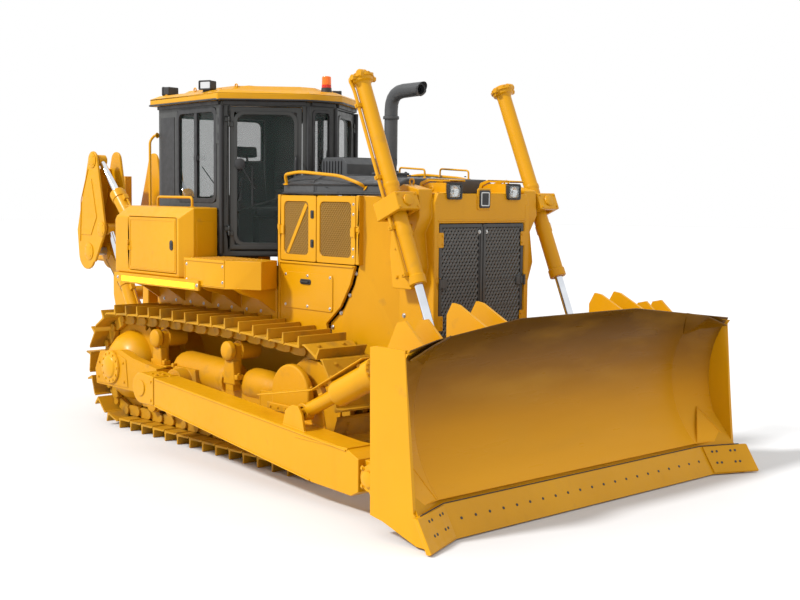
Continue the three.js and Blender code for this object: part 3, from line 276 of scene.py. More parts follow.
def tube(corners, radius, bend=0.05, sides=10):
    """A bent round tube through corners, closed at its ends."""
    curve = bpy.data.curves.new("tube", "CURVE")
    curve.dimensions = "3D"
    curve.bevel_depth = radius
    curve.bevel_resolution = max(1, (sides - 4) // 2)
    curve.use_fill_caps = True
    points = bent(corners, bend)
    spline = curve.splines.new("POLY")
    spline.points.add(len(points) - 1)
    for target, point in zip(spline.points, points):
        target.co = (*point, 1)
    obj = bpy.data.objects.new("tube", curve)
    bpy.context.scene.collection.objects.link(obj)
    take(obj)
    bpy.ops.object.convert(target="MESH")
    return bpy.context.object


def repeated(obj, places):
    """Copies of one piece at these matrices, in its stead."""
    made = []
    for place in places:
        made.append(copied(obj))
        made[-1].data.transform(place)
    bpy.data.objects.remove(obj)
    return made


def joined(pieces):
    """The pieces as one object."""
    take(*pieces)
    if len(pieces) > 1:
        bpy.ops.object.join()
    return bpy.context.view_layer.objects.active


def copied(obj):
    """A copy with its own mesh."""
    twin = obj.copy()
    twin.data = obj.data.copy()
    bpy.context.scene.collection.objects.link(twin)
    return twin


def mirrored_only(obj):
    """The piece moved to its mirror place on the machine's other side."""
    obj.data.transform(Matrix.Diagonal((1, -1, 1, 1)))
    obj.data.flip_normals()
    return obj


def sided(side, pieces):
    """Pieces of the machine's right as one, in its mirror place if the side is the left."""
    piece = joined(pieces)
    return [mirrored_only(piece) if side == "left" else piece]


def both(pieces):
    """Pieces of the machine's right as one, after their mirror image on the left."""
    right = joined(pieces)
    return [mirrored_only(copied(right)), right]


def bolts(points, direction, size=0.012, height=0.7):
    """Hexagon bolts on washers, all facing one direction."""
    take()
    bpy.ops.mesh.primitive_cylinder_add(vertices=6, radius=size, depth=size * height,
                                        location=(0, 0, size * 0.15))
    head = rounded(bpy.context.object, size * 0.12, 1, 30)
    head.data.transform(Matrix.Translation((0, 0, size * height / 2)))
    bpy.ops.mesh.primitive_cylinder_add(vertices=14, radius=size * 1.5, depth=size * 0.5, location=(0, 0, 0))
    washer = rounded(bpy.context.object, size * 0.1, 1, 50)
    return repeated(joined([head, washer]), [aimed(point, direction) for point in points])


def on_circle(centre, axis, radius, count, start=0):
    """Points evenly round a circle, with the axis x, y or z."""
    points = []
    for index in range(count):
        turn = math.radians(start) + FULL_TURN * index / count
        offset = on_axis(axis, radius * math.cos(turn), radius * math.sin(turn), 0)
        points.append(Vector(centre) + offset)
    return points


def skin(node, edge=0.004, segments=2):
    """A frame piece's own shape, its edges rounded."""
    shape = copied(NODES[node])
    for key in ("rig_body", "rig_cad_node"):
        del shape[key]
    shape.parent = None
    shape.data.transform(Matrix.Translation(-AXLE))
    take(shape)
    bpy.ops.object.mode_set(mode="EDIT")
    bpy.ops.mesh.select_all(action="SELECT")
    bpy.ops.mesh.remove_doubles(threshold=0.00002)
    bpy.ops.object.mode_set(mode="OBJECT")
    if edge:
        modify(shape, "BEVEL", width=edge, segments=segments, limit_method="ANGLE",
               angle_limit=math.radians(38), use_clamp_overlap=False, miter_outer="MITER_ARC")
    return shape


def seated(name, pieces, material, body, stands_for=(), smooth=36):
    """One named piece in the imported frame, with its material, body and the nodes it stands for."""
    obj = joined(pieces if isinstance(pieces, list) else [pieces])
    obj.name = obj.data.name = name
    obj.data.transform(Matrix.Translation(AXLE))
    take(obj)
    bpy.ops.object.shade_smooth_by_angle(angle=math.radians(smooth))
    modify(obj, "WEIGHTED_NORMAL", keep_sharp=True)
    obj.data.materials.clear()
    obj.data.materials.append(material)
    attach(obj, body)
    if stands_for:
        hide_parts(*stands_for)
    return obj


def skinned(node, material, extra=(), edge=0.004, segments=2, smooth=36):
    """The frame piece's own shape with extra pieces on it, standing for it."""
    return seated(node + "_finished", [skin(node, edge, segments), *extra], material, BODY_OF[node],
                  [node], smooth)


def pair(name, pieces, material, body, slot=None, stands_for=(), smooth=36):
    """A piece on the right and its mirror image on the left, with bodies and nodes to match."""
    def other(word):
        return word.replace("_right", "_left")
    left, right = both(pieces if isinstance(pieces, list) else [pieces])
    seated(name + "_right", right, material, body, list(stands_for), smooth)
    seated(name + "_left", left, material, other(body), [other(node) for node in stands_for], smooth)


# ---------------------------------------------------------------- finishes
def link(material, output, node_input):
    """Joins two sockets of a material's nodes."""
    material.node_tree.links.new(output, node_input)


def made_of(name, **values):
    """A material with these values on its shader's own sockets."""
    material = bpy.data.materials.new(name)
    material.use_nodes = True
    shader = material.node_tree.nodes["Principled BSDF"]
    for socket, value in values.items():
        shader.inputs[socket.replace("_", " ")].default_value = value
    return material


def noise(material, scale, detail=4, stretch=(1, 1, 1)):
    """A noise on the object's own coordinates."""
    nodes = material.node_tree.nodes
    coordinates = nodes.new("ShaderNodeTexCoord")
    mapping = nodes.new("ShaderNodeMapping")
    mapping.inputs["Scale"].default_value = stretch
    texture = nodes.new("ShaderNodeTexNoise")
    texture.inputs["Scale"].default_value = scale
    texture.inputs["Detail"].default_value = detail
    link(material, coordinates.outputs["Object"], mapping.inputs["Vector"])
    link(material, mapping.outputs["Vector"], texture.inputs["Vector"])
    return texture.outputs["Fac"]


def ramp(material, factor, stops):
    """Colours or greys at positions along a factor."""
    node = material.node_tree.nodes.new("ShaderNodeValToRGB")
    while len(node.color_ramp.elements) < len(stops):
        node.color_ramp.elements.new(0.5)
    for element, (position, colour) in zip(node.color_ramp.elements, stops):
        element.position = position
        element.color = (*colour, 1) if isinstance(colour, tuple) else (colour, colour, colour, 1)
    link(material, factor, node.inputs["Fac"])
    return node.outputs["Color"]


def mixed(material, factor, first, second):
    """One colour turning into another along a factor."""
    node = material.node_tree.nodes.new("ShaderNodeMix")
    node.data_type = "RGBA"
    link(material, factor, node.inputs["Factor"])
    for socket, value in (("A", first), ("B", second)):
        target = next(i for i in node.inputs if i.name == socket and i.type == "RGBA")
        if isinstance(value, tuple):
            target.default_value = (*value, 1)
        else:
            link(material, value, target)
    return next(o for o in node.outputs if o.type == "RGBA")


def bumped(material, height, distance, strength=1.0):
    """The material's surface raised by a height."""
    node = material.node_tree.nodes.new("ShaderNodeBump")
    node.inputs["Strength"].default_value = strength
    node.inputs["Distance"].default_value = distance
    link(material, height, node.inputs["Height"])
    link(material, node.outputs["Normal"], material.node_tree.nodes["Principled BSDF"].inputs["Normal"])


def shaded(material, colour=None, roughness=None):
    """The material's colour and roughness taken from these sockets."""
    shader = material.node_tree.nodes["Principled BSDF"]
    if colour is not None:
        link(material, colour, shader.inputs["Base Color"])
    if roughness is not None:
        link(material, roughness, shader.inputs["Roughness"])
    return material


def enamel(name, light, dark, rough=(0.3, 0.5), grime=(0.20, 0.12, 0.04), grime_from=0.66, peel=0.0004,
           **values):
    """Sprayed enamel: a slow drift of tone, a faint film of dirt in patches and a fine orange-peel skin."""
    material = made_of(name, **values)
    tone = ramp(material, noise(material, 0.9, 3), [(0.3, dark), (0.7, light)])
    film = ramp(material, noise(material, 5.0, 8), [(grime_from, 0.0), (grime_from + 0.22, 0.6)])
    streaks = ramp(material, noise(material, 9.0, 6, (1, 1, 0.12)), [(0.55, 0.0), (0.85, 0.25)])
    dirty = mixed(material, film, tone, grime)
    streaked = mixed(material, streaks, dirty, tuple(value * 0.72 for value in light))
    shaded(material, streaked, ramp(material, noise(material, 14.0, 5), [(0.35, rough[0]), (0.7, rough[1])]))
    bumped(material, noise(material, 260.0, 2), peel, 0.35)
    return material


YELLOW_LIGHT = (0.62, 0.292, 0.002)
YELLOW_DARK = (0.55, 0.252, 0.002)
yellow = enamel("yellow_enamel", YELLOW_LIGHT, YELLOW_DARK, Coat_Weight=0.08, Coat_Roughness=0.2,
                Specular_IOR_Level=0.2)
cast_yellow = enamel("yellow_on_castings", (0.57, 0.262, 0.003), (0.48, 0.212, 0.002), (0.4, 0.62),
                     peel=0.002,
                     grime_from=0.58, Specular_IOR_Level=0.18)
track_yellow = enamel("yellow_on_tracks", (0.50, 0.252, 0.008), (0.41, 0.19, 0.005), (0.45, 0.7),
                      (0.12, 0.075, 0.03), 0.52, 0.0015, Specular_IOR_Level=0.18)
bright_strip = enamel("bright_yellow_strip", (0.95, 0.82, 0.0), (0.93, 0.78, 0.0), (0.35, 0.5))
cab_grey = enamel("cab_grey_enamel", (0.052, 0.053, 0.051), (0.040, 0.041, 0.039), (0.38, 0.55),
                  (0.06, 0.055, 0.045), 0.72, Specular_IOR_Level=0.35)
hood_grey = enamel("hood_grey_enamel", (0.050, 0.052, 0.054), (0.036, 0.038, 0.040), (0.35, 0.6),
                   (0.09, 0.085, 0.07), 0.62, 0.0012)
black_mesh = enamel("black_grille_enamel", (0.045, 0.045, 0.044), (0.034, 0.034, 0.033), (0.35, 0.55),
                    (0.06, 0.05, 0.04), 0.7)
black_plastic = enamel("black_moulded_plastic", (0.022, 0.022, 0.023), (0.016, 0.016, 0.017), (0.45, 0.65),
                       (0.05, 0.045, 0.04), 0.7, 0.0008)
black_iron = enamel("heat_black_iron", (0.035, 0.036, 0.036), (0.026, 0.026, 0.026), (0.5, 0.75),
                    (0.09, 0.07, 0.05), 0.6, 0.0015)
hose_rubber = enamel("hose_rubber", (0.018, 0.018, 0.018), (0.013, 0.013, 0.013), (0.5, 0.7),
                     (0.05, 0.045, 0.04), 0.65, 0.001)
engine_paint = enamel("engine_block_enamel", (0.10, 0.09, 0.08), (0.07, 0.065, 0.06), (0.5, 0.7),
                      (0.03, 0.025, 0.02), 0.5, 0.002)


def bare_metal(name, light, dark, rough, stretch=(1, 1, 1), scale=60.0, scratch=0.0003, **values):
    """Bare metal with fine scratches along one way."""
    material = made_of(name, Metallic=1.0, **values)
    shaded(material, ramp(material, noise(material, 7.0, 5), [(0.3, dark), (0.7, light)]),
           ramp(material, noise(material, scale, 6, stretch), [(0.3, rough[0]), (0.75, rough[1])]))
    bumped(material, noise(material, scale * 4, 3, stretch), scratch, 0.3)
    return material


chrome = bare_metal("polished_chrome", (0.80, 0.83, 0.87), (0.68, 0.71, 0.76), (0.06, 0.18))
zinc = bare_metal("zinc_plated_bolts", (0.62, 0.62, 0.60), (0.48, 0.48, 0.47), (0.28, 0.5))
machined = bare_metal("machined_steel", (0.5, 0.48, 0.45), (0.38, 0.36, 0.33), (0.3, 0.5))
reflector = bare_metal("lamp_reflector", (0.9, 0.9, 0.9), (0.8, 0.8, 0.8), (0.05, 0.14))


def glazing(name, colour, alpha, rough=0.03):
    """Tinted safety glass, thin enough to see through, very slightly wavy."""
    material = made_of(name, Alpha=alpha)
    shaded(material, ramp(material, noise(material, 1.5, 3),
                          [(0.3, colour), (0.7, tuple(v * 1.25 for v in colour))]),
           ramp(material, noise(material, 3.0, 4), [(0.4, rough), (0.75, rough + 0.05)]))
    bumped(material, noise(material, 2.5, 2), 0.0008, 0.15)
    return material


cab_glass = glazing("cab_safety_glass", (0.008, 0.020, 0.016), 0.26)
lamp_glass = glazing("lamp_glass", (0.55, 0.60, 0.62), 0.22)
amber = glazing("amber_beacon", (0.85, 0.16, 0.01), 0.92, 0.12)
red_lens = glazing("red_lens", (0.60, 0.02, 0.01), 0.92, 0.12)


def upholstery():
    """Woven seat cloth with vinyl's soft sheen."""
    material = made_of("seat_cloth", Sheen_Weight=0.25, Sheen_Roughness=0.5)
    shaded(material, ramp(material, noise(material, 420.0, 2),
                          [(0.3, (0.016, 0.017, 0.019)), (0.7, (0.034, 0.035, 0.038))]),
           ramp(material, noise(material, 20.0, 4), [(0.3, 0.68), (0.7, 0.85)]))
    bumped(material, noise(material, 500.0, 2), 0.0008, 0.6)
    return material


seat_cloth = upholstery()


def mouldboard_painted_shade():
    """Enamel with painted light and shade by height: brightest toward the board's foot, where it faces up,
    deep brown under its curled top, with a few random worn patches.
    """
    material = made_of("mouldboard_painted_shade", Coat_Weight=0.05, Coat_Roughness=0.2, Specular_IOR_Level=0.12)
    nodes = material.node_tree.nodes
    split = nodes.new("ShaderNodeSeparateXYZ")
    link(material, nodes.new("ShaderNodeTexCoord").outputs["Object"], split.inputs["Vector"])
    waver = nodes.new("ShaderNodeMath")
    waver.operation = "MULTIPLY_ADD"
    waver.inputs[1].default_value = 0.12
    link(material, noise(material, 1.6, 3, (0.6, 0.5, 2.5)), waver.inputs[0])
    link(material, split.outputs["Z"], waver.inputs[2])
    painted_shade_height = nodes.new("ShaderNodeMath")
    painted_shade_height.operation = "MULTIPLY"
    painted_shade_height.inputs[1].default_value = 0.58
    link(material, waver.outputs["Value"], painted_shade_height.inputs[0])
    # Painted light and shade: bright yellow low on the board, darkening to near-black brown toward the curled
    # top.
    tone = ramp(material, painted_shade_height.outputs["Value"], [(0.18, (0.74, 0.34, 0.010)), (0.45, (0.50, 0.215, 0.004)),
                                                    (0.66, (0.24, 0.098, 0.002)),
                                                    (0.90, (0.075, 0.030, 0.001))])
    worn = ramp(material, noise(material, 3.5, 6, (1, 0.3, 1)), [(0.5, 0.0), (0.85, 0.35)])
    shaded(material, mixed(material, worn, tone, (0.50, 0.25, 0.02)),
           ramp(material, noise(material, 8.0, 5, (1, 0.15, 1)), [(0.35, 0.25), (0.7, 0.45)]))
    bumped(material, noise(material, 220.0, 2), 0.0004, 0.3)
    return material


def radiator_fins():
    """A radiator's thin dark fins, a fine wave up the core."""
    material = made_of("radiator_fins", Metallic=0.4)
    nodes = material.node_tree.nodes
    wave = nodes.new("ShaderNodeTexWave")
    wave.bands_direction = "Z"
    wave.inputs["Scale"].default_value = 40
    link(material, nodes.new("ShaderNodeTexCoord").outputs["Object"], wave.inputs["Vector"])
    shaded(material, ramp(material, wave.outputs["Fac"], [(0.2, (0.004, 0.004, 0.004)),
                                                          (0.9, (0.02, 0.02, 0.021))]),
           ramp(material, noise(material, 12.0, 4), [(0.3, 0.5), (0.7, 0.75)]))
    bumped(material, wave.outputs["Fac"], 0.002, 0.6)
    return material


board_yellow_painted_shade = mouldboard_painted_shade()
core_fins = radiator_fins()
# Painted light: the grille doors' black-painted mesh is given a lighter grey than its frame, standing in for
# light falling on it.
grille_mesh_painted_light = enamel("grille_mesh_enamel_painted_light", (0.13, 0.13, 0.125), (0.10, 0.10, 0.096), (0.35, 0.55))
# Painted shade: the perforated door sheets and the solid sheet behind them are a darker yellow than the rest,
# standing in for the shade seen through the holes.
perforated_painted_shade = enamel("perforated_sheet_painted_shade", (0.36, 0.19, 0.012), (0.29, 0.145, 0.008), (0.4, 0.6))
grip_yellow = enamel("anti_slip_yellow", (0.58, 0.27, 0.008), (0.50, 0.22, 0.006), (0.55, 0.8), peel=0.006)
BY_SLOT = {"yellow_paint": yellow, "grey_paint": cab_grey, "black_paint": black_mesh,
           "track_steel": track_yellow,
           "wear_steel": yellow, "engine_iron": engine_paint, "chrome_rod": chrome, "cab_glass": cab_glass,
           "seat_vinyl": seat_cloth}
for node, obj in NODES.items():
    obj.data.materials.clear()
    obj.data.materials.append(BY_SLOT[SLOT_OF[node]])


# ---------------------------------------------------------------- tracks
SHOES = 41
TRACK_Y = 1.08
SHOE_HALF = 0.27
SPROCKET = Vector((0, 0, 0.655))
IDLER = Vector((3.15, 0, 0.635))
CARRIER_Z = 1.02
CARRIER_X = (0.73, 2.02)
PULLEYS = [(SPROCKET.x, SPROCKET.z, 0.49), (IDLER.x, IDLER.z, 0.47), (CARRIER_X[1], CARRIER_Z, 0.15),
           (CARRIER_X[0], CARRIER_Z, 0.15)]


def belt_line(step=2):
    """The line of the track's pins round its wheels, counter-clockwise, as points in the XZ plane."""
    turns = []
    for here, after in zip(PULLEYS, [*PULLEYS[1:], PULLEYS[0]]):
        run = math.hypot(after[0] - here[0], after[1] - here[1])
        along = math.atan2(after[1] - here[1], after[0] - here[0])
        turns.append(along - math.pi / 2 + math.asin((here[2] - after[2]) / run))
    points = []
    for index, (x, z, radius) in enumerate(PULLEYS):
        start, end = turns[index - 1], turns[index]
        while start > end:
            start -= FULL_TURN
        points += arc(x, z, radius, math.degrees(start), math.degrees(end),
                      max(1, math.ceil(math.degrees(end - start) / step)))
    return points


def shoe_places():
    """Matrices at equal distances along the belt: X along it, Y across it, Z outward."""
    line = [Vector((x, 0, z)) for x, z in belt_line()]
    runs = list(zip(line, [*line[1:], line[0]]))
    pitch = sum((b - a).length for a, b in runs) / SHOES
    places, walked = [], 0.0
    for a, b in runs:
        length = (b - a).length
        while len(places) < SHOES and len(places) * pitch < walked + length:
            along = (b - a).normalized()
            out = Vector((along.z, 0, -along.x))
            turn = Matrix((along, Vector((0, 1, 0)), out)).transposed().to_4x4()
            places.append(Matrix.Translation(a + along * (len(places) * pitch - walked)) @ turn)
        walked += length
    return places, pitch


def track_chain():
    """One shoe with its grouser, link pair, bushing and bolts, repeated along the belt."""
    places, pitch = shoe_places()
    half = pitch / 2
    section = [(-0.016, 0.060), (0.185, 0.060), (0.204, 0.048), (0.212, 0.060), (0.190, 0.077),
               (0.022, 0.082),
               (0.013, 0.096), (0.009, 0.165), (-0.009, 0.165), (-0.013, 0.096), (-0.018, 0.082)]
    shoe = plate(section, "y", -SHOE_HALF, SHOE_HALF, 0.002)
    side = [(-half, -0.012), (-half * 0.82, -0.044), (-half * 0.5, -0.055), (half * 0.5, -0.055),
            (half * 0.82, -0.044), (half, -0.012), (half * 0.98, 0.028), (half * 0.6, 0.058),
            (-half * 0.6, 0.058),
            (-half * 0.98, 0.028)]
    links = [plate(side, "y", y, y + 0.052, 0.004) for y in (-0.1, 0.048)]
    bosses = [bar((half, y, 0), (half, y + 0.026, 0), 0.042, sides=14, edge=0.003,
                  segments=1) for y in (-0.126, 0.1)]
    bushing = bar((half, -0.06, 0), (half, 0.06, 0), 0.036, sides=12, edge=0)
    heads = bolts([(x, y, 0.084) for x in (0.062, 0.142) for y in (-0.14, 0.14)], (0, 0, 1), 0.013)
    one = joined([shoe, *links, *bosses, bushing, *heads])
    return repeated(one, [Matrix.Translation((0, -TRACK_Y, 0)) @ place for place in places])


pair("track_chain_right", track_chain(), track_yellow, "machine", "track_steel", ["track_right"])


# ---------------------------------------------------------------- sprockets, track frames and rollers
def final_drive():
    """The rounded final-drive case with its bolted cover."""
    case = turned([(0.0, 0), (0.0, 0.375), (0.07, 0.37), (0.15, 0.335), (0.22, 0.27), (0.262, 0.20),
                   (0.27, 0.12),
                   (0.27, 0)], (0, -1.09, SPROCKET.z), OUT, 48)
    cover = turned([(0.0, 0), (0.0, 0.172), (0.012, 0.178), (0.028, 0.172), (0.034, 0.12), (0.044, 0.112),
                    (0.050, 0.095), (0.058, 0.04), (0.058, 0)], (0, -1.402, SPROCKET.z), OUT, 48)
    heads = bolts(on_circle((0, -1.432, SPROCKET.z), "y", 0.148, 12), OUT, 0.013)
    plug = bolts([(0.07, -1.446, SPROCKET.z + 0.03), (-0.06, -1.446, SPROCKET.z - 0.05)], OUT, 0.011)
    return [case, cover, *heads, *plug]


pair("sprocket_segments_right", skin("sprocket_right", 0.003, 1), cast_yellow, "machine", "yellow_paint",
     ["sprocket_right"])
pair("final_drive_cover_right", final_drive(), yellow, "machine", "yellow_paint")


def frame_castings():
    """Recoil spring covers, idler guard, roller collars and bolted bottom guards."""
    made = [
        turned([(0, 0), (0, 0.10), (0.03, 0.15), (0.08, 0.172), (0.80, 0.172), (0.85, 0.16), (0.88, 0.13),
                (0.88, 0)],
               (0.95, -TRACK_Y, 0.735), (0.90, 0, -0.03), 48),
        turned([(0, 0), (0, 0.13), (0.02, 0.155), (0.06, 0.158), (0.26, 0.155), (0.32, 0.135), (0.46, 0.115),
                (0.46, 0)],
               (2.13, -TRACK_Y, 0.70), (0.46, 0, -0.01), 48)]
    guard = [(2.76, 0.62), (3.29, 0.62), *arc(3.025, 0.735, 0.27, 0, 180, 24)]
    made.append(plate(guard, "y", -1.262, -1.335, 0.022, 3))
    made.append(block((2.70, 3.30), (-1.345, -1.256), (0.56, 0.635), 0.012))
    made += bolts([(x, -1.345, 0.598) for x in (2.76, 2.87, 2.98, 3.09, 3.20, 3.26)], OUT, 0.013)
    for x in CARRIER_X:
        made.append(turned([(0, 0), (0, 0.088), (0.012, 0.094), (0.05, 0.094), (0.062, 0.085), (0.075, 0.055),
                            (0.075, 0)], (x, -1.262, CARRIER_Z), OUT, 28))
        made += bolts(on_circle((x, -1.326, CARRIER_Z), "y", 0.062, 5, 18), OUT, 0.008)
        made.append(plate([(x - 0.095, 0.70), (x + 0.095, 0.70), (x + 0.085, 0.80), (x + 0.07, 0.93),
                           (x - 0.07, 0.93),
                           (x - 0.085, 0.80)], "y", -1.292, -1.21, 0.012, 2))
        made += bolts([(x + dx, -1.25, 0.805) for dx in (-0.11, 0.11)], (0, 0, 1), 0.012)
        made.append(block((x - 0.13, x + 0.13), (-1.285, -1.205), (0.75, 0.80), 0.01))
    made += bolts([(0.42 + 0.196 * i, -1.242, z) for i in range(12) for z in (0.305, 0.415)], OUT, 0.011)
    made.append(plate([(-0.30, 0.46), (-0.33, 0.58), (-0.24, 0.755), (0.16, 0.80), (0.30, 0.76),
                       (0.34, 0.47)], "y",
                      -1.40, -1.408, 0.003))
    made += bolts([(-0.27, -1.41, 0.52), (-0.25, -1.41, 0.68), (0.27, -1.41, 0.52), (0.25, -1.41, 0.72)], OUT,
                  0.012)
    made += [block((0.63, 0.92), (-1.30, -1.19), (0.735, 0.752), 0.004),
             block((1.0, 1.04), (-1.29, -1.2), (0.75, 0.79), 0.006)]
    return made


pair("track_frame_finished_right", [skin("track_frame_right", 0.006), *frame_castings()], cast_yellow,
     "machine",
     "yellow_paint", ["track_frame_right"])


def lower_rollers():
    """The faces of the lower rollers."""
    made = []
    for index in range(7):
        x = 0.57 + 0.355 * index
        made.append(turned([(0, 0), (0, 0.085), (0.01, 0.092), (0.03, 0.092), (0.036, 0.06), (0.036, 0)],
                           (x, -1.236, 0.325), OUT, 24))
    return made


pair("lower_roller_ends_right", lower_rollers(), cast_yellow, "machine", "yellow_paint")

# ---------------------------------------------------------------- push arms, tilt cylinder and brace
TILT_FOOT = Vector((3.66, -1.64, 0.705))
TILT_EYE = Vector((4.70, -1.50, 1.25))
TILT_WAY = (TILT_EYE - TILT_FOOT).normalized()


def arm_fittings():
    """Weld beads, the top flange and the bolts of a push arm."""
    face = -1.792
    return [block((3.70, 4.38), (-1.795, -1.525), (0.512, 0.530), 0.004),
            bead([(1.52, face, 0.735), (4.36, face, 0.508)], 0.008),
            bead([(1.52, face, 0.478), (3.90, face, 0.190)], 0.008),
            *bolts([(4.56, face, 0.33 + dz) for dz in (-0.07, 0.07)], OUT, 0.014),
            turned([(0, 0), (0, 0.062), (0.014, 0.062), (0.02, 0.045), (0.02, 0)], (4.64, -1.80, 0.33), OUT,
                   28)]


def cap_fittings():
    """The bolts and the round cover on a trunnion cap."""
    return [*bolts([(1.43, -1.72, 0.757), (1.35, -1.72, 0.757), (1.43, -1.645, 0.757), (1.35, -1.645, 0.757)],
                   (0, 0, 1), 0.014),
            turned([(0, 0), (0, 0.075), (0.006, 0.08), (0.012, 0.075), (0.012, 0)], (1.25, -1.789, 0.62), OUT,
                   36),
            *bolts([(1.44, -1.791, 0.70), (1.44, -1.791, 0.52)], OUT, 0.012)]


for side in SIDES:
    skinned("push_arm_" + side, yellow, sided(side, arm_fittings()), 0.008, 3)
    skinned("trunnion_cap_" + side, yellow, sided(side, cap_fittings()), 0.010, 3)


def on_tilt(distance, side=0.0, rise=0.0):
    """A point beside the tilt cylinder's line."""
    across = TILT_WAY.cross(UP).normalized()
    over = across.cross(TILT_WAY)
    return TILT_FOOT + TILT_WAY * distance + across * side + over * rise


def foot_eye():
    """The eye round the pin at the foot of the tilt cylinder or the brace."""
    return turned([(0, 0.046), (0, 0.068), (0.006, 0.074), (0.084, 0.074), (0.09, 0.068), (0.09, 0.046)],
                  TILT_FOOT + Vector((0, 0.045, 0)), OUT, 36)


def tilt_cylinder():
    """The tilt cylinder's thin rear tube, big barrel and bolted head, with the hose guard along its top."""
    body = turned([(0.045, 0), (0.045, 0.050), (0.06, 0.060), (0.385, 0.060), (0.395, 0.085), (0.405, 0.105),
                   (0.43, 0.112), (0.80, 0.112), (0.802, 0.128), (0.875, 0.128), (0.882, 0.122),
                   (0.882, 0.056),
                   (0.45, 0.056), (0.45, 0)], TILT_FOOT, TILT_WAY, 48)
    across = TILT_WAY.cross(UP).normalized()
    over = across.cross(TILT_WAY)
    ring = [TILT_FOOT + TILT_WAY * 0.882 + (across * math.cos(a) + over * math.sin(a)) * 0.105
            for a in (FULL_TURN * i / 14 for i in range(14))]
    line = [TILT_FOOT + Vector((-0.62, 0.01, 0.075)), TILT_FOOT + Vector((-0.16, 0.0, 0.155)),
            on_tilt(0.20, 0, 0.128), on_tilt(0.84, 0, 0.150)]
    guard = [panel([a + across * 0.075, b + across * 0.075, b - across * 0.075, a - across * 0.075], 0.012,
                   0.004)
             for a, b in zip(line, line[1:])]
    feet = [placed(block((d, d + 0.05), (-0.03, 0.03), (0.055, 0.13), 0.004), TILT_FOOT, TILT_WAY, -across)
            for d in (0.22, 0.36, 0.72)]
    clips = bolts([on_tilt(d, s, 0.143) for d in (0.2, 0.45, 0.7) for s in (-0.055, 0.055)], over, 0.009)
    return [body, foot_eye(), *guard, *feet, *bolts(ring, TILT_WAY, 0.012), *clips]


seated("tilt_cylinder_finished", tilt_cylinder(), yellow, "tilt_cylinder", ["tilt_cylinder"])


def rod_with_eye(start, end, radius, eye_radius, half_width, way):
    """A polished rod that ends in an eye."""
    shaft = bar(start, end, radius, sides=48, edge=0.003)
    eye = turned([(0, 0), (0, eye_radius * 0.9), (0.006, eye_radius), (2 * half_width - 0.006, eye_radius),
                  (2 * half_width, eye_radius * 0.9), (2 * half_width, 0)],
                 Vector(end) - Vector(way).normalized() * half_width, way, 36)
    return shaft, eye


shaft, eye = rod_with_eye(on_tilt(0.56), TILT_EYE, 0.05, 0.068, 0.052, (0, 1, 0))
seated("tilt_rod_finished", shaft, chrome, "tilt_rod", ["tilt_rod"])
seated("tilt_rod_eye", eye, yellow, "tilt_rod")


def brace():
    """The fixed brace opposite the tilt cylinder, with its thick middle and two eyes."""
    length = (TILT_EYE - TILT_FOOT).length
    body = turned([(0.045, 0), (0.045, 0.050), (0.07, 0.060), (0.285, 0.060), (0.31, 0.092), (0.77, 0.092),
                   (0.795, 0.06),
                   (length - 0.08, 0.06), (length - 0.05, 0.05), (length - 0.05, 0)], TILT_FOOT, TILT_WAY, 40)
    half, radius = 0.052, 0.068
    eye = turned([(0, 0), (0, radius * 0.92), (0.006, radius), (2 * half - 0.006, radius),
                  (2 * half, radius * 0.92),
                  (2 * half, 0)], TILT_EYE + Vector((0, half, 0)), OUT, 36)
    return mirrored_only(joined([body, eye, foot_eye()]))


seated("brace_left_finished", brace(), yellow, "brace_left", ["brace_left"])

# ---------------------------------------------------------------- lift cylinders
YOKE = Vector((3.93, -0.89, 2.41))
LIFT_EYE = Vector((4.56, -0.89, 0.95))
LIFT_WAY = (LIFT_EYE - YOKE).normalized()
LIFT_ACROSS = Vector((-LIFT_WAY.z, 0, LIFT_WAY.x))


def on_lift(down, across=0.0, side=0.0):
    """A point beside the lift cylinder's line, from its yoke."""
    return YOKE + LIFT_WAY * down + LIFT_ACROSS * across + Vector((0, side, 0))


def lift_barrel():
    """The lift cylinder's barrel with its bolted top flange, port block, side pipe and gland."""
    top = -1.24
    barrel = turned([(0, 0), (0, 0.070), (0.008, 0.078), (0.016, 0.094), (0.028, 0.094), (0.030, 0.106),
                     (0.034, 0.110), (0.052, 0.110),
                     (0.056, 0.098), (0.082, 0.094), (0.094, 0.074), (0.12, 0.068), (1.02, 0.068),
                     (1.03, 0.074), (1.06, 0.074),
                     (1.07, 0.068), (1.42, 0.068), (1.43, 0.074), (1.50, 0.074), (1.51, 0.068), (1.86, 0.068),
                     (1.868, 0.077), (1.935, 0.077), (1.942, 0.07), (1.942, 0.042), (0.52, 0.042), (0.52, 0)],
                    on_lift(top), LIFT_WAY, 48)
    ring = [on_lift(top + 0.030, 0.099 * math.cos(a),
                    0.099 * math.sin(a)) for a in (FULL_TURN * i / 10 for i in range(10))]
    port = -1.21
    made = [barrel, *bolts(ring, -LIFT_WAY, 0.010),
            tube([on_lift(port, -0.02, 0.03), on_lift(port, -0.03, -0.12), on_lift(-1.10, -0.03, -0.092),
                  on_lift(0.60, -0.03, -0.092), on_lift(0.655, -0.03, -0.06)], 0.015, 0.05, 12),
            turned([(0, 0), (0, 0.034), (0.01, 0.04), (0.07, 0.04), (0.08, 0.034), (0.08, 0)],
                   on_lift(port, 0.06), OUT, 20)]
    for down in (-0.95, -0.28, 0.18, 0.60):
        made.append(placed(block((down - 0.018, down + 0.018), (-0.052, -0.008), (0.055, 0.118), 0.004), YOKE,
                           LIFT_WAY, LIFT_ACROSS))
        made += bolts([on_lift(down, -0.03, -0.12)], OUT, 0.008)
    made += [bar(on_lift(-1.19, 0.02, side * 0.7), on_lift(-1.19, 0.02, side * 1.25), 0.026, sides=6,
                 edge=0.002)
             for side in (0.105, -0.105)]
    made += [bar(on_lift(0, end * 0.055), on_lift(0, end * 0.163), 0.032, sides=24) for end in (-1, 1)]
    return made


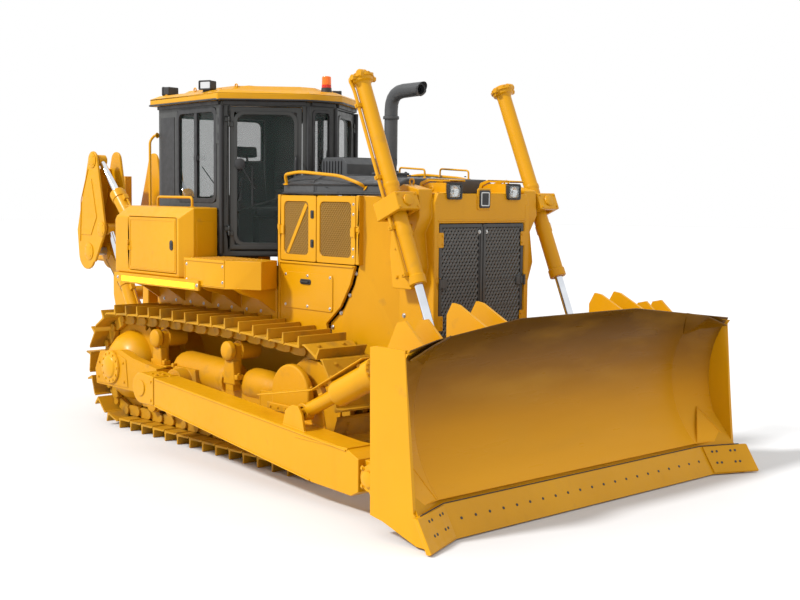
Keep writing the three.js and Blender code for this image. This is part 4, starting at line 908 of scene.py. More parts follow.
def yoke_caps():
    """The round pin covers on the front and back of a lift yoke."""
    made = []
    for sign in (-1, 1):
        way = LIFT_ACROSS * sign
        made.append(turned([(0, 0), (0, 0.048), (0.006, 0.052), (0.016, 0.048), (0.02, 0.03), (0.02, 0)],
                           on_lift(0, sign * 0.150), way, 28))
        made += bolts([on_lift(d, sign * 0.150, s) for d in (-0.058, 0.058) for s in (-0.1, 0.1)], way, 0.011)
    return made


for side in SIDES:
    barrel, rod = "lift_barrel_" + side, "lift_rod_" + side
    seated("lift_barrel_finished_" + side, sided(side, lift_barrel()), yellow, barrel,
           [barrel])
    skinned("lift_yoke_" + side, yellow, sided(side, yoke_caps()), 0.012, 3)
    shaft, eye = rod_with_eye(on_lift(0.15), LIFT_EYE, 0.038, 0.07, 0.052, (0, 1, 0))
    seated("lift_rod_finished_" + side, sided(side, [shaft]), chrome, rod, [rod])
    seated("lift_rod_eye_" + side, sided(side, [eye]), yellow, rod)

# ---------------------------------------------------------------- blade
FOLD = 1.64
CREST = 0.74
BLADE_HALF = 2.03
BOARD_CENTRE = (5.895, 0.925)
BOARD_RADIUS = 0.925


def board_point(y, z, forward=0.0):
    """A point on the mouldboard's face: z is its height at the middle of the blade."""
    x = BOARD_CENTRE[0] - math.sqrt(BOARD_RADIUS ** 2 - (z - BOARD_CENTRE[1]) ** 2)
    x += max(0, abs(y) - FOLD) * 0.42 * (1 - 0.35 * ((z - 0.9) / 0.66) ** 2)
    fall = 0.15 * max(0, abs(y) - CREST) / (BLADE_HALF - CREST)
    return Vector((x + forward, y, z - fall * (z - 0.235) / 1.325))


def board_sheet():
    """The polished sheet on the blade's face, folded forward at its wings."""
    side = [0.0, 0.25, 0.5, 0.72, 0.76, 1.0, 1.25, 1.45, 1.6, 1.632, 1.648, 1.69, 1.78, 1.88, 1.96, 2.003]
    columns = [-y for y in reversed(side[1:])] + side
    rows = 40
    take()
    bpy.ops.mesh.primitive_grid_add(x_subdivisions=len(columns) - 1, y_subdivisions=rows, size=1)
    obj = bpy.context.object
    for index, vertex in enumerate(obj.data.vertices):
        row, column = divmod(index, len(columns))
        vertex.co = board_point(columns[column], 0.262 + 1.294 * row / rows, 0.004)
    return modify(obj, "SOLIDIFY", thickness=0.008, offset=0)


def wing_details():
    """Weld beads along the fold and the end plate, and the corner plates at a wing's head and foot."""
    heights = [0.27 + 0.0535 * step for step in range(21)]
    made = [bead([board_point(-FOLD, z, 0.004) for z in heights], 0.0075),
            bead([board_point(-2.0, z, 0.004) for z in heights + [1.39, 1.45]], 0.006)]
    foot, apex = board_point(-1.665, 0.275, 0.012), board_point(-1.84, 0.60, 0.016)
    outer = board_point(-1.995, 0.262, 0.03)
    made.append(panel([foot, apex, outer], 0.012, 0.002))
    made += [bead([foot, apex], 0.006), bead([apex, outer], 0.006)]
    inner, root = board_point(-1.49, 1.556, 0.002), board_point(-1.655, 1.33, 0.004)
    peak, end = board_point(-1.73, 1.54, 0.07), board_point(-1.998, 1.47, 0.06)
    made.append(panel([inner, peak, root], 0.012, 0.003))
    made.append(panel([peak, end, board_point(-1.93, 1.44, 0.02), board_point(-1.80, 1.41, 0.006), root],
                      0.012, 0.003))
    return made


# The sheet carries the mouldboard's painted light and shade by height.
seated("mouldboard_sheet", [board_sheet(), *both(wing_details())], board_yellow_painted_shade, "blade",
       smooth=28)


def on_edge(y, down, out=0.0):
    """A point on the cutting edge's front face, down from its top."""
    sweep = max(0, abs(y) - FOLD) * 0.42
    return Vector((5.3066 + sweep + 0.148 * down + 0.844 * out, y, 0.243 - 0.233 * down + 0.536 * out))


def end_bit():
    """The thicker plate bolted to an end of the cutting edge."""
    inner, outer = -1.652, -2.087
    return panel([on_edge(outer, 0.02, 0.011), on_edge(outer, 0.985, 0.011), on_edge(inner, 0.96, 0.011),
                  on_edge(inner, 0.03, 0.011)], 0.016, 0.003)


def plow_bolts(points, normal):
    """Flush bolt heads."""
    return [bar(point - normal * 0.004, point + normal * 0.0025, 0.0115, sides=14,
                edge=0) for point in points]


EDGE_OUT = Vector((0.844, 0, 0.536))
WING_OUT = Vector((0.148, 0, -0.233)).cross(Vector((-0.42, 1, 0))).normalized()
if WING_OUT.x < 0:
    WING_OUT = -WING_OUT
right_bit = end_bit()
left_bit = mirrored_only(copied(right_bit))
skinned("cutting_edge", yellow, [right_bit, left_bit], 0.003, 1)
heads = plow_bolts([on_edge(-1.52 + 0.152 * i, 0.48) for i in range(21)], EDGE_OUT)
holes = plow_bolts([on_edge(y, down, 0.011) for down in (0.22, 0.62) for y in (-1.72, -1.765, -1.90, -1.945)],
                   WING_OUT)
seated("cutting_edge_bolts", [*heads, *both(holes)], black_iron, "blade")
seam = bead([(5.307, 0, 0.2465), (5.307, -FOLD, 0.2465), on_edge(-2.02, -0.015, 0.0)], 0.0045)
seated("blade_edge_seam", both([seam]), black_plastic, "blade")


def blade_fittings():
    """Pin covers, weld beads and the end plate's edge strips on the blade's right half."""
    made = [turned([(0, 0), (0, 0.062), (0.008, 0.066), (0.014, 0.05), (0.014, 0)], (4.56, y, 0.95),
                   (0, way, 0), 28)
            for y, way in ((-1.055, -1), (-0.725, 1))]
    made += [turned([(0, 0), (0, 0.056), (0.008, 0.06), (0.014, 0.045), (0.014, 0)], (4.70, y, 1.25),
                    (0, way, 0), 28)
             for y, way in ((-1.642, -1), (-1.358, 1))]
    made.append(panel([(5.296, -2.034, 1.398), (5.352, -2.034, 0.75), (5.402, -2.034, 0.25),
                       (5.428, -2.034, 0.225),
                       (5.392, -2.034, 0.225), (5.366, -2.034, 0.25), (5.316, -2.034, 0.75),
                       (5.262, -2.034, 1.398)],
                      0.012, 0.002))
    made += [bead([(4.94, y, 0.62), (4.85, y, 0.75), (4.72, y, 0.86)], 0.008) for y in (-1.042, -0.738)]
    return made


def blade_structure():
    """The blade's own shape, with nothing of its stiffeners in front of the mouldboard's back."""
    shape = skin("blade", 0)
    for vertex in shape.data.vertices:
        x, y, z = vertex.co
        fall = 0.15 * max(0, abs(y) - CREST) / (BLADE_HALF - CREST)
        level = (z - fall * 0.235 / 1.325) / (1 - fall / 1.325)
        if abs(y) < 2.008 and z > 0.30 and level < 1.55:
            face = board_point(y, min(level, 1.55)).x - 0.014
            if face < x < face + 0.09:
                vertex.co.x = face
    return rounded(shape, 0.005, 2, 38)


seated("blade_finished", [blade_structure(), *both(blade_fittings())], yellow, "blade",
       ["blade"])

# ---------------------------------------------------------------- radiator guard
def work_lamp():
    """A lamp in the hood beside the emblem's place: black frame, reflector bowl and glass."""
    outer, inner = corner_rounded(-0.458, -0.292, 2.475, 2.618,
                                  0.02), corner_rounded(-0.440, -0.310, 2.493, 2.600, 0.012)
    frame_ring = ring_plate(outer, inner, "x", 4.082, 4.116, 0.003)
    bowl = turned([(0, 0), (0.002, 0.018), (0.010, 0.034), (0.020, 0.044), (0.020, 0.047), (0, 0.047)],
                  (4.084, -0.375, 2.546), (1, 0, 0), 28)
    glass = plate(corner_rounded(-0.438, -0.312, 2.495, 2.598, 0.01), "x", 4.106, 4.109, 0.001)
    back = plate(corner_rounded(-0.440, -0.310, 2.493, 2.600, 0.012), "x", 4.0815, 4.084, 0.0)
    return [frame_ring, back], bowl, glass


frames, bowl, glass = work_lamp()
pair("guard_lamp_frame_right", frames, black_plastic, "machine", "black_paint")
pair("guard_lamp_bowl_right", bowl, reflector, "machine", "chrome_rod")
pair("guard_lamp_glass_right", glass, lamp_glass, "machine", "cab_glass")


def guard_fittings():
    """Lamp hood cheeks, lifting eyes, seam beads and bolts on the guard's right half."""
    made = [plate([(3.73, 2.52), (3.77, 2.625), (3.87, 2.655), (4.135, 2.645), (4.135, 2.628), (3.88, 2.63),
                   (3.80, 2.60), (3.77, 2.52)], "y", y, y + 0.012, 0.003) for y in (-0.472, -0.290)]
    made.append(panel([(3.87, -0.472, 2.655), (4.135, -0.472, 2.645), (4.135, -0.278, 2.645),
                       (3.87, -0.278, 2.655)],
                      0.010, 0.003))
    made += [eye_ring((3.80, -0.60, 2.625), "y", 0.026, 0.008),
             eye_ring((3.97, -0.52, 2.565), "y", 0.02, 0.006)]
    made.append(bar((3.80, -0.60, 2.56), (3.80, -0.60, 2.605), 0.014, sides=12))
    made.append(panel([(4.093, -0.599, 2.43), (4.093, -0.545, 2.43), (4.093, -0.545, 1.02),
                       (4.093, -0.599, 1.02)][::-1],
                      0.006, 0.003))
    made += [turned([(0, 0), (0, 0.064), (0.01, 0.068), (0.03, 0.06), (0.03, 0)], (3.93, -0.745, 2.41), OUT,
                    28)]
    made += bolts([(3.80, -0.748, 2.50), (3.97, -0.748, 2.50), (3.79, -0.748, 2.30), (3.95, -0.748, 2.25),
                   (3.76, -0.748, 2.05), (3.90, -0.748, 2.0), (3.78, -0.748, 1.80), (3.92, -0.748, 1.80)],
                  OUT, 0.014)
    return made


beam = [block((4.086, 4.098), (-0.56, 0.56), (2.285, 2.30), 0.004),
        plate(corner_rounded(-0.085, 0.085, 2.385, 2.575, 0.022), "x", 4.086, 4.099, 0.003)]
skinned("radiator_guard", yellow, [*both(guard_fittings()), *beam], 0.010, 3)
seated("emblem_place", plate(corner_rounded(-0.066, 0.066, 2.402, 2.558, 0.016), "x", 4.098, 4.108, 0.002),
       black_plastic, "machine")
seated("emblem_rim", ring_plate(corner_rounded(-0.052, 0.052, 2.418, 2.542, 0.012),
                                corner_rounded(-0.042, 0.042, 2.428, 2.532, 0.008), "x", 4.107, 4.112, 0.001),
       zinc, "machine")
seated("radiator_core_front", plate(corner_rounded(-0.535, 0.535, 1.265, 2.265, 0.01), "x", 3.904, 3.93,
                                    0.002),
       core_fins, "machine")


def seam_bolts():
    """Silver bolts along the curved seam between the guard's side plate and the body."""
    spots = [(3.31, 2.37), (3.30, 2.02), (3.255, 1.80), (3.17, 1.60), (3.05, 1.43), (2.93, 1.29)]
    rear, front = 0.762, 0.602
    made = []
    for x, z in spots:
        share = min(1, (3.65 - x) / 0.36)
        made.append(Vector((x, -(front + share * (rear - front)) - 0.004, z)))
    return bolts(made, OUT, 0.0135)


pair("guard_side_bolts_right", [*seam_bolts(), *bolts([(3.72, -0.604, 1.15), (3.95, -0.604, 1.15),
                                                       (3.72, -0.604, 1.45),
                                                       (3.98, -0.604, 1.45)], OUT, 0.014)], zinc, "machine",
     "chrome_rod")


def grille_door():
    """A door of crossing strips in a bevelled frame, with the centre strip and hinge leaves."""
    outer, inner = corner_rounded(-0.534, -0.004, 1.266, 2.264,
                                  0.015), corner_rounded(-0.502, -0.044, 1.30, 2.23, 0.012)
    made = [ring_plate(outer, inner, "x", 4.050, 4.085, 0.004)]
    made.append(block((4.083, 4.092), (-0.032, -0.006), (1.30, 2.235), 0.003))
    made += [bar((4.071, -0.505, z), (4.071, -0.04, z), 0.007, sides=6, edge=0) for z in (1.53, 1.765, 2.0)]
    made += [plate([(-0.50, 1.70), (-0.44, 1.715), (-0.44, 1.785), (-0.50, 1.80)], "x", 4.083, 4.095, 0.003)]
    made.append(bar((4.1023, -0.537, 1.703), (4.1023, -0.537, 1.797), 0.0118, sides=16, edge=0.002))
    made.append(block((4.084, 4.100), (-0.537, -0.49), (1.715, 1.785), 0.003))
    return made


pair("grille_door_finished_right", grille_door(), black_mesh, "grille_door_right", "black_paint",
     ["grille_door_right"])
# The mesh takes the lighter painted-light grey.
pair("grille_door_mesh_right", lattice("x", (-0.505, -0.04), (1.297, 2.233), 4.070, 0.034, 0.0105), grille_mesh_painted_light,
     "grille_door_right", "black_paint")
pair("grille_door_bolts_right", bolts([(4.088, -0.045, 2.19), (4.088, -0.045, 1.34)], (1, 0, 0), 0.012), zinc,
     "grille_door_right", "chrome_rod")
hinge_leaves = [plate(corner_rounded(-0.56, -0.49, z, z + 0.13, 0.012), "x", 4.086, 4.096,
                      0.002) for z in (2.06, 1.34)]
pair("grille_hinge_leaves_right", [*hinge_leaves, *bolts([(4.097, -0.505, 2.09), (4.097, -0.505, 2.16),
                                                          (4.097, -0.505, 1.37), (4.097, -0.505, 1.44)],
                                                         (1, 0, 0), 0.009)],
     yellow, "grille_door_right", "yellow_paint")


# ---------------------------------------------------------------- engine doors and side panels
DOOR_SILL, DOOR_HEAD = 1.88, 2.494


def engine_door(x0, x1, hinge_x, inset):
    """A framed door of perforated sheet with its hinge knuckle and leaf."""
    z0, z1 = DOOR_SILL, DOOR_HEAD
    outer = corner_rounded(x0, x1, z0, z1, 0.018)
    inner = corner_rounded(x0 + inset[0], x1 - inset[1], z0 + 0.06, z1 - 0.055, 0.05)
    made = [ring_plate(outer, inner, "y", -0.775, -0.80, 0.004)]
    leaf = 1 if hinge_x < (x0 + x1) / 2 else -1
    made.append(bar((hinge_x, -0.8123, 2.122), (hinge_x, -0.8123, 2.218), 0.0118, sides=16, edge=0.002))
    made.append(block(sorted((hinge_x + leaf * 0.002, hinge_x + leaf * 0.06)), (-0.812, -0.797), (2.13, 2.21),
                      0.003))
    return made


def door_mesh(x0, x1, inset):
    """The expanded metal that fills an engine door's frame, on a solid sheet just behind it; both take the
    darker painted-shade yellow.
    """
    z0, z1 = DOOR_SILL + 0.052, DOOR_HEAD - 0.047
    across = (x0 + inset[0] - 0.008, x1 - inset[1] + 0.008)
    return [*lattice("y", across, (z0, z1), -0.787, 0.021, 0.0046),
            plate(corner_rounded(*across, z0, z1, 0.05), "y",
                  -0.777, -0.782, 0)]


REAR_DOOR, FRONT_DOOR = (2.18, 2.716), (2.728, 3.28)
REAR_INSET, FRONT_INSET = (0.05, 0.115), (0.045, 0.06)
pair("engine_door_rear_finished_right",
     [*engine_door(*REAR_DOOR, 2.177, REAR_INSET),
      panel([(2.262, -0.797, 1.955), (2.30, -0.797, 1.945), (2.585, -0.797, 2.40), (2.55, -0.797, 2.425)],
            0.010, 0.002)],
     yellow, "engine_door_rear_right", "yellow_paint", ["engine_door_rear_right"])
# The door sheets take the darker painted-shade yellow.
pair("engine_door_rear_mesh_right", door_mesh(*REAR_DOOR, REAR_INSET), perforated_painted_shade, "engine_door_rear_right",
     "yellow_paint")
pair("engine_door_front_finished_right", engine_door(*FRONT_DOOR, 3.283, FRONT_INSET), yellow,
     "engine_door_front_right", "yellow_paint", ["engine_door_front_right"])
pair("engine_door_front_mesh_right", door_mesh(*FRONT_DOOR, FRONT_INSET), perforated_painted_shade, "engine_door_front_right",
     "yellow_paint")


def latch(x, z, y=-0.80, tall=0.075):
    """A black paddle latch in its bezel."""
    bezel = plate(corner_rounded(x - 0.022, x + 0.022, z - tall / 2, z + tall / 2, 0.012), "y", y, y - 0.008,
                  0.002)
    paddle = plate(corner_rounded(x - 0.013, x + 0.013, z - tall * 0.32, z + tall * 0.32, 0.008), "y",
                   y - 0.007,
                   y - 0.014, 0.003)
    return [bezel, paddle]


pair("engine_door_latches_right", [*latch(2.665, 2.32), *latch(2.665, 2.05)], black_plastic,
     "engine_door_rear_right",
     "black_paint")
pair("engine_door_bolts_right", bolts([(3.252, -0.80, z) for z in (1.95, 2.02, 2.33, 2.42)], OUT,
                                      0.009), zinc, "engine_door_front_right", "chrome_rod")


def lower_panel():
    """The access plate on the body's side below the engine doors, its seam and the sill flange."""
    made = [plate(corner_rounded(2.235, 2.975, 1.43, 1.775, 0.035), "y", -0.801, -0.809, 0.003)]
    made.append(block((2.165, 3.26), (-0.812, -0.80), (1.852, 1.868), 0.004))
    made.append(block((2.162, 2.176), (-0.809, -0.80), (1.25, 1.85), 0.003))
    return made


skinned("main_frame", yellow, both(lower_panel()), 0.006, 2)
pair("access_plate_handle_right", [plate(corner_rounded(2.50, 2.66, 1.665, 1.715, 0.018), "y", -0.809, -0.816,
                                         0.003),
                                   tube([(2.525, -0.812, 1.69), (2.525, -0.835, 1.69), (2.635, -0.835, 1.69),
                                         (2.635, -0.812, 1.69)], 0.006, 0.012, 8)], black_plastic, "machine",
     "black_paint")
pair("access_plate_bolts_right", bolts([(x, -0.809, z) for x in (2.27, 2.605, 2.94) for z in (1.46, 1.745)],
                                       OUT,
                                       0.010), zinc, "machine", "chrome_rod")


# ---------------------------------------------------------------- hood, exhaust and rails
def exhaust():
    """The exhaust stack: a smooth bent pipe with a slanted mouth and a clamped foot."""
    pipe = tube([(3.13, -0.25, 2.69), (3.13, -0.25, 3.452), (3.60, -0.25, 3.462)], 0.0615, 0.17, 28)
    take(pipe)
    bpy.ops.object.mode_set(mode="EDIT")
    bpy.ops.mesh.select_all(action="SELECT")
    bpy.ops.mesh.bisect(plane_co=(3.53, -0.25, 3.452), plane_no=Vector((0.874, 0, -0.486)), clear_outer=True)
    bpy.ops.object.mode_set(mode="OBJECT")
    collars = [turned([(0, 0.0), (0, 0.070), (0.006, 0.074), (0.026, 0.074), (0.032, 0.070), (0.032, 0)],
                      (3.13, -0.25, z), (0, 0, 1), 36) for z in (2.70, 3.20)]
    foot = block((3.00, 3.26), (-0.37, -0.13), (2.69, 2.712), 0.006)
    return [pipe, *collars, foot, *bolts([(x, y, 2.713) for x in (3.025, 3.235) for y in (-0.345, -0.155)],
                                         (0, 0, 1),
                                         0.011)]


skinned("hood", hood_grey, exhaust(), 0.014, 3)


def hood_rib(side):
    """The moulding band along the hood's side."""
    def edge(x):
        return 0.72 + 0.08 * (x - 2.11) / 0.59 if x < 2.70 else 0.80 - 0.14 * (x - 2.70) / 0.94
    stations = [2.12, 2.40, 2.70, 3.00, 3.30, 3.62]
    return [tube([(x, side * (edge(x) + 0.006), z) for x in stations], 0.012, 0.02,
                 10) for z in (2.515, 2.60)]


seated("hood_moulding", [*hood_rib(1), *hood_rib(-1)], black_plastic, "machine")


def top_seams():
    """Raised ribs, panel seams and bolts on the hood's top."""
    made = [block((x, x + 0.02), (-0.55, 0.55), (2.684, 2.690), 0.002) for x in (2.56, 2.94)]
    made += [block((2.60, 2.90), (y, y + 0.03), (2.684, 2.693), 0.003) for y in (-0.45, 0.02, 0.42)]
    made.append(block((2.14, 2.42), (-0.23, 0.18), (2.858, 2.868), 0.004))
    made += [block((2.13 + 0.045 * i, 2.15 + 0.045 * i), (-0.262, -0.246), (2.70, 2.83),
                   0.003) for i in range(7)]
    made += bolts([(x, y, 2.686) for x in (2.50, 3.34) for y in (-0.52, -0.2, 0.2, 0.52)], (0, 0, 1), 0.009)
    return made


seated("hood_top_seams", top_seams(), hood_grey, "machine")


def rail(points, radius=0.0155, bend=0.06):
    """A grab rail with a foot plate at each end."""
    points = [Vector(point) for point in points]
    feet = [turned([(0, 0), (0, radius * 2.1), (0.004, radius * 2.2), (0.008, radius * 1.2), (0.008, 0)], end,
                   after - end, 20) for end, after in ((points[0], points[1]), (points[-1], points[-2]))]
    return [tube(points, radius, bend, 12), *feet]


pair("hood_corner_rail_right", rail([(2.20, -0.745, 2.60), (2.21, -0.775, 2.69), (2.45, -0.785, 2.715),
                                    (3.04, -0.785, 2.675), (3.28, -0.765, 2.61), (3.30, -0.70, 2.575)],
                                    0.0155, 0.09),
     yellow, "machine", "yellow_paint")
seated("hood_top_rails", [*rail([(3.20, -0.20, 2.68), (3.20, -0.20, 2.76), (3.58, -0.24, 2.74),
                                 (3.58, -0.24, 2.66)], 0.009,
                                0.03),
                          *rail([(3.20, 0.32, 2.68), (3.20, 0.32, 2.76), (3.58, 0.32, 2.74),
                                 (3.58, 0.32, 2.66)], 0.009,
                                0.03)], yellow, "machine")

# ---------------------------------------------------------------- cab
REAR_POST, DOOR_POST, FRONT_POST = Vector((-0.05, -0.78, 0)), Vector((1.28, -0.87,
                                                                      0)), Vector((1.80, -0.18, 0))
SIDE_WALL = (REAR_POST, DOOR_POST)
DOOR_WALL = (DOOR_POST, FRONT_POST)
SIDE_LENGTH, DOOR_LENGTH = (DOOR_POST - REAR_POST).length, (FRONT_POST - DOOR_POST).length


def in_wall(wall, *pieces):
    """Pieces drawn with X along a wall, Y inward from its outer face and Z up, put into the wall."""
    start, end = wall
    return [placed(piece, start, end - start, UP.cross(end - start)) for piece in pieces]


def gasket(x0, x1, z0, z1, radius, width, out=-0.006, deep=0.02):
    """A rubber window seal with rounded corners."""
    return ring_plate(corner_rounded(x0, x1, z0, z1, radius, 8),
                      corner_rounded(x0 + width, x1 - width, z0 + width, z1 - width, radius - width * 0.5, 8),
                      "y", out,
                      deep, 0.003)


def window_seals():
    """Seals, header band and pillar trims of the cab's right half."""
    side_end = SIDE_LENGTH - 0.11
    made = in_wall(SIDE_WALL, gasket(0.405, side_end + 0.015, 2.405, 3.375, 0.09, 0.05),
                   block((0.808, 0.836), (-0.002, 0.034), (2.44, 3.34), 0.004),
                   block((0.765, 0.800), (0.004, 0.030), (2.44, 3.34), 0.004),
                   block((0.02, SIDE_LENGTH - 0.02), (-0.028, 0.0), (3.388, 3.428), 0.006),
                   block((0.06, 0.36), (-0.006, 0.0), (2.46, 3.30), 0.004),
                   block((0.02, SIDE_LENGTH - 0.02), (-0.008, 0.0), (2.33, 2.36), 0.004))
    made += in_wall(DOOR_WALL, block((0.02, DOOR_LENGTH - 0.02), (-0.030, 0.0), (3.388, 3.428), 0.006))
    made.append(bar((1.292, -0.880, 1.90), (1.292, -0.880, 3.38), 0.024, sides=20, edge=0.004))
    made.append(bar((1.803, -0.178, 1.90), (1.803, -0.178, 3.38), 0.020, sides=20, edge=0.004))
    return made


pair("cab_seals_right", window_seals(), black_plastic, "machine", "grey_paint")
front_seals = [ring_plate(corner_rounded(-0.125, 0.125, 2.425, 3.355, 0.05, 8),
                          corner_rounded(-0.092, 0.092, 2.458, 3.322, 0.035, 8), "x", 1.775, 1.808, 0.003),
               ring_plate(corner_rounded(-0.62, 0.62, 2.42, 3.36, 0.09, 8),
                          corner_rounded(-0.575, 0.575, 2.465, 3.315, 0.07, 8), "x", -0.058, -0.03, 0.003),
               block((1.80, 1.832), (-0.15, 0.15), (3.388, 3.428), 0.006),
               block((-0.08, -0.05), (-0.75, 0.75), (3.388, 3.428), 0.006),
               tube([(1.812, 0.0, 2.40), (1.826, 0.0, 2.44), (1.822, 0.05, 2.95)], 0.006, 0.02, 8),
               turned([(0, 0), (0, 0.022), (0.02, 0.022), (0.026, 0.012), (0.026, 0)], (1.80, 0, 2.395),
                      (1, 0, 0), 20),
               tube([(-0.055, 0.1, 2.39), (-0.070, 0.1, 2.43), (-0.064, -0.22, 2.80)], 0.006, 0.02, 8),
               turned([(0, 0), (0, 0.026), (0.022, 0.026), (0.03, 0.014), (0.03, 0)], (-0.05, 0.1, 2.385),
                      (-1, 0, 0), 20)]
seated("cab_end_seals", front_seals, black_plastic, "machine")


def pillar_hinges():
    """The long hinge plates on the door post."""
    made = []
    for z in (2.02, 3.00):
        made += in_wall(SIDE_WALL, plate(corner_rounded(SIDE_LENGTH - 0.085, SIDE_LENGTH - 0.012, z, z + 0.30,
                                                        0.012),
                                         "y", 0.0, -0.012, 0.003))
    return made


def slots():
    """The two slots in each hinge plate, and the side window's latch."""
    made = []
    for z in (2.02, 3.00):
        made += in_wall(SIDE_WALL, *[plate(corner_rounded(SIDE_LENGTH - 0.062, SIDE_LENGTH - 0.034, z + dz,
                                                          z + dz + 0.075,
                                                          0.012), "y", -0.011, -0.0135,
                                           0.0) for dz in (0.035, 0.19)])
    made += in_wall(SIDE_WALL, block((0.80, 0.90), (-0.022, -0.002), (2.84, 2.885), 0.006),
                    block((0.86, 0.885), (-0.034, -0.02), (2.83, 2.895), 0.005))
    return made


skinned("cab_frame", cab_grey, both(pillar_hinges()), 0.012, 3)
pair("cab_latches_right", slots(), black_plastic, "machine", "black_paint")


def cab_door():
    """The door's inner seal with its arched head, and the lower kick plate."""
    x0, x1 = 0.135, DOOR_LENGTH - 0.115
    return in_wall(DOOR_WALL, gasket(x0 - 0.012, x1 + 0.012, 1.978, 3.327, 0.10, 0.034, -0.006, 0.032),
                   plate(corner_rounded(x0 - 0.04, x1 + 0.04, 1.945, 1.982, 0.01), "y", -0.001, -0.009,
                         0.003))


def door_handles():
    """The outer grab handle and latch, the wiper's motor and arm, and the rail inside the glass."""
    made = in_wall(DOOR_WALL,
                   tube([(0.745, -0.004, 2.36), (0.745, -0.055, 2.38), (0.745, -0.055, 2.86),
                         (0.745, -0.004, 2.88)], 0.013,
                        0.03, 12),
                   plate(corner_rounded(0.715, 0.775, 2.16, 2.29, 0.012), "y", 0.0, -0.014, 0.003),
                   block((0.733, 0.757), (-0.034, -0.012), (2.18, 2.27), 0.006),
                   turned([(0, 0), (0, 0.052), (0.012, 0.056), (0.026, 0.052), (0.034, 0.030), (0.034, 0)],
                          (0.185, 0.0, 2.80), OUT, 32),
                   tube([(0.185, -0.030, 2.80), (0.205, -0.034, 2.77), (0.34, -0.012, 2.55)], 0.007, 0.02, 8),
                   block((0.30, 0.315), (0.010, 0.018), (2.38, 2.78), 0.002),
                   tube([(0.16, 0.045, 2.30), (0.16, 0.08, 2.32), (0.68, 0.08, 2.50), (0.68, 0.045, 2.52)],
                        0.012, 0.04, 10))
    return made


for side in SIDES:
    door, seal, handles = "cab_door_" + side, sided(side, cab_door()), sided(side, door_handles())
    skinned(door, cab_grey, seal, 0.008, 3)
    seated("cab_door_fittings_" + side, handles, black_plastic, door)


def roof_top():
    """The roof's raised centre panel, ribs, lifting eyes and bolts."""
    made = [block((0.12, 1.22), (-0.50, 0.50), (3.585, 3.604), 0.012, 3)]
    made += [block((0.22, 1.12), (y, y + 0.05), (3.600, 3.611), 0.006) for y in (-0.36, -0.12, 0.10, 0.32)]
    made += [eye_ring((x, y, 3.592), "y", 0.020, 0.007) for x in (0.42, 1.18) for y in (-0.62, 0.62)]
    made += bolts([(x, y, 3.545) for x, y in ((0.05, -0.74), (1.2, -0.82), (0.05, 0.74), (1.2, 0.82))],
                  (0, 0, 1), 0.012)
    return made


skinned("cab_roof", yellow, roof_top(), 0.012, 3)
rim = [Vector((-0.125, -0.845, 3.437)), Vector((1.305, -0.942, 3.437)), Vector((1.868, -0.205, 3.437))]
rim += [Vector((p.x, -p.y, p.z)) for p in reversed(rim)]
seated("roof_gutter", tube([*rim, rim[0]], 0.010, 0.04, 8), black_plastic, "machine")
seated("beacon_base", turned([(0, 0), (0, 0.062), (0.012, 0.066), (0.05, 0.058), (0.085, 0.053),
                              (0.095, 0.053), (0.095, 0)],
                             (1.62, 0.20, 3.505), (0, 0, 1), 40), black_plastic, "machine")
seated("beacon_ring", turned([(0, 0.0425), (0, 0.050), (0.028, 0.050), (0.030, 0.0425)], (1.62, 0.20, 3.600),
                             (0, 0, 1), 40),
       red_lens, "machine")
seated("beacon_lens", turned([(0, 0.0425), (0, 0.049), (0.075, 0.047), (0.084, 0.043), (0.089, 0.030),
                              (0.091, 0)],
                             (1.62, 0.20, 3.631), (0, 0, 1), 40), amber, "machine")


def roof_lamp(x, y, way):
    """A work lamp on a bracket at the roof's edge."""
    way = Vector(way).normalized()
    across = UP.cross(way)
    centre = Vector((x, y, 3.595))
    body = placed(block((-0.05, 0.04), (-0.075, 0.075), (-0.045, 0.045), 0.012, 3), centre, way, across)
    rim = placed(ring_plate(corner_rounded(-0.078, 0.078, -0.048, 0.048, 0.014),
                            corner_rounded(-0.064, 0.064, -0.034,
0.034, 0.010), "x", 0.036, 0.056, 0.003), centre, way, across)
    foot = placed(block((-0.02, 0.02), (-0.05, 0.05), (-0.075, -0.04), 0.004), centre, way, across)
    lens = placed(plate(corner_rounded(-0.063, 0.063, -0.033, 0.033, 0.009), "x", 0.041, 0.046, 0.001),
                  centre, way, across)
    return [body, rim, foot], lens


lamps = [roof_lamp(0.98, -0.83, (0.35, -1, 0)), roof_lamp(0.98, 0.83, (0.35, 1, 0)),
         roof_lamp(0.0, -0.66, (-1, -0.2, 0)),
         roof_lamp(0.0, 0.66, (-1, 0.2, 0))]
seated("roof_lamps", [piece for group, lens in lamps for piece in group], black_plastic, "machine")
seated("roof_lamp_lenses", [lens for group, lens in lamps], reflector, "machine")


# ---------------------------------------------------------------- seat and controls
def soft_pad(pieces, cap):
    """A padded cushion: its smaller closed shape swells under pressure, each point held within a distance."""
    pad = joined(pieces)
    modify(pad, "REMESH", mode="VOXEL", voxel_size=0.006)
    before = [vertex.co.copy() for vertex in pad.data.vertices]
    take(pad)
    cloth = pad.modifiers.new("swell", "CLOTH")
    cloth.settings.use_pressure = True
    cloth.settings.uniform_pressure_force = 4
    cloth.settings.effector_weights.gravity = 0
    for step in range(1, 21):
        bpy.context.scene.frame_set(step)
    bpy.ops.object.modifier_apply(modifier=cloth.name)
    bpy.context.scene.frame_set(1)
    for vertex, start in zip(pad.data.vertices, before):
        moved = vertex.co - start
        if moved.length > cap:
            vertex.co = start + moved.normalized() * cap
    return modify(pad, "SUBSURF", levels=1, render_levels=1)


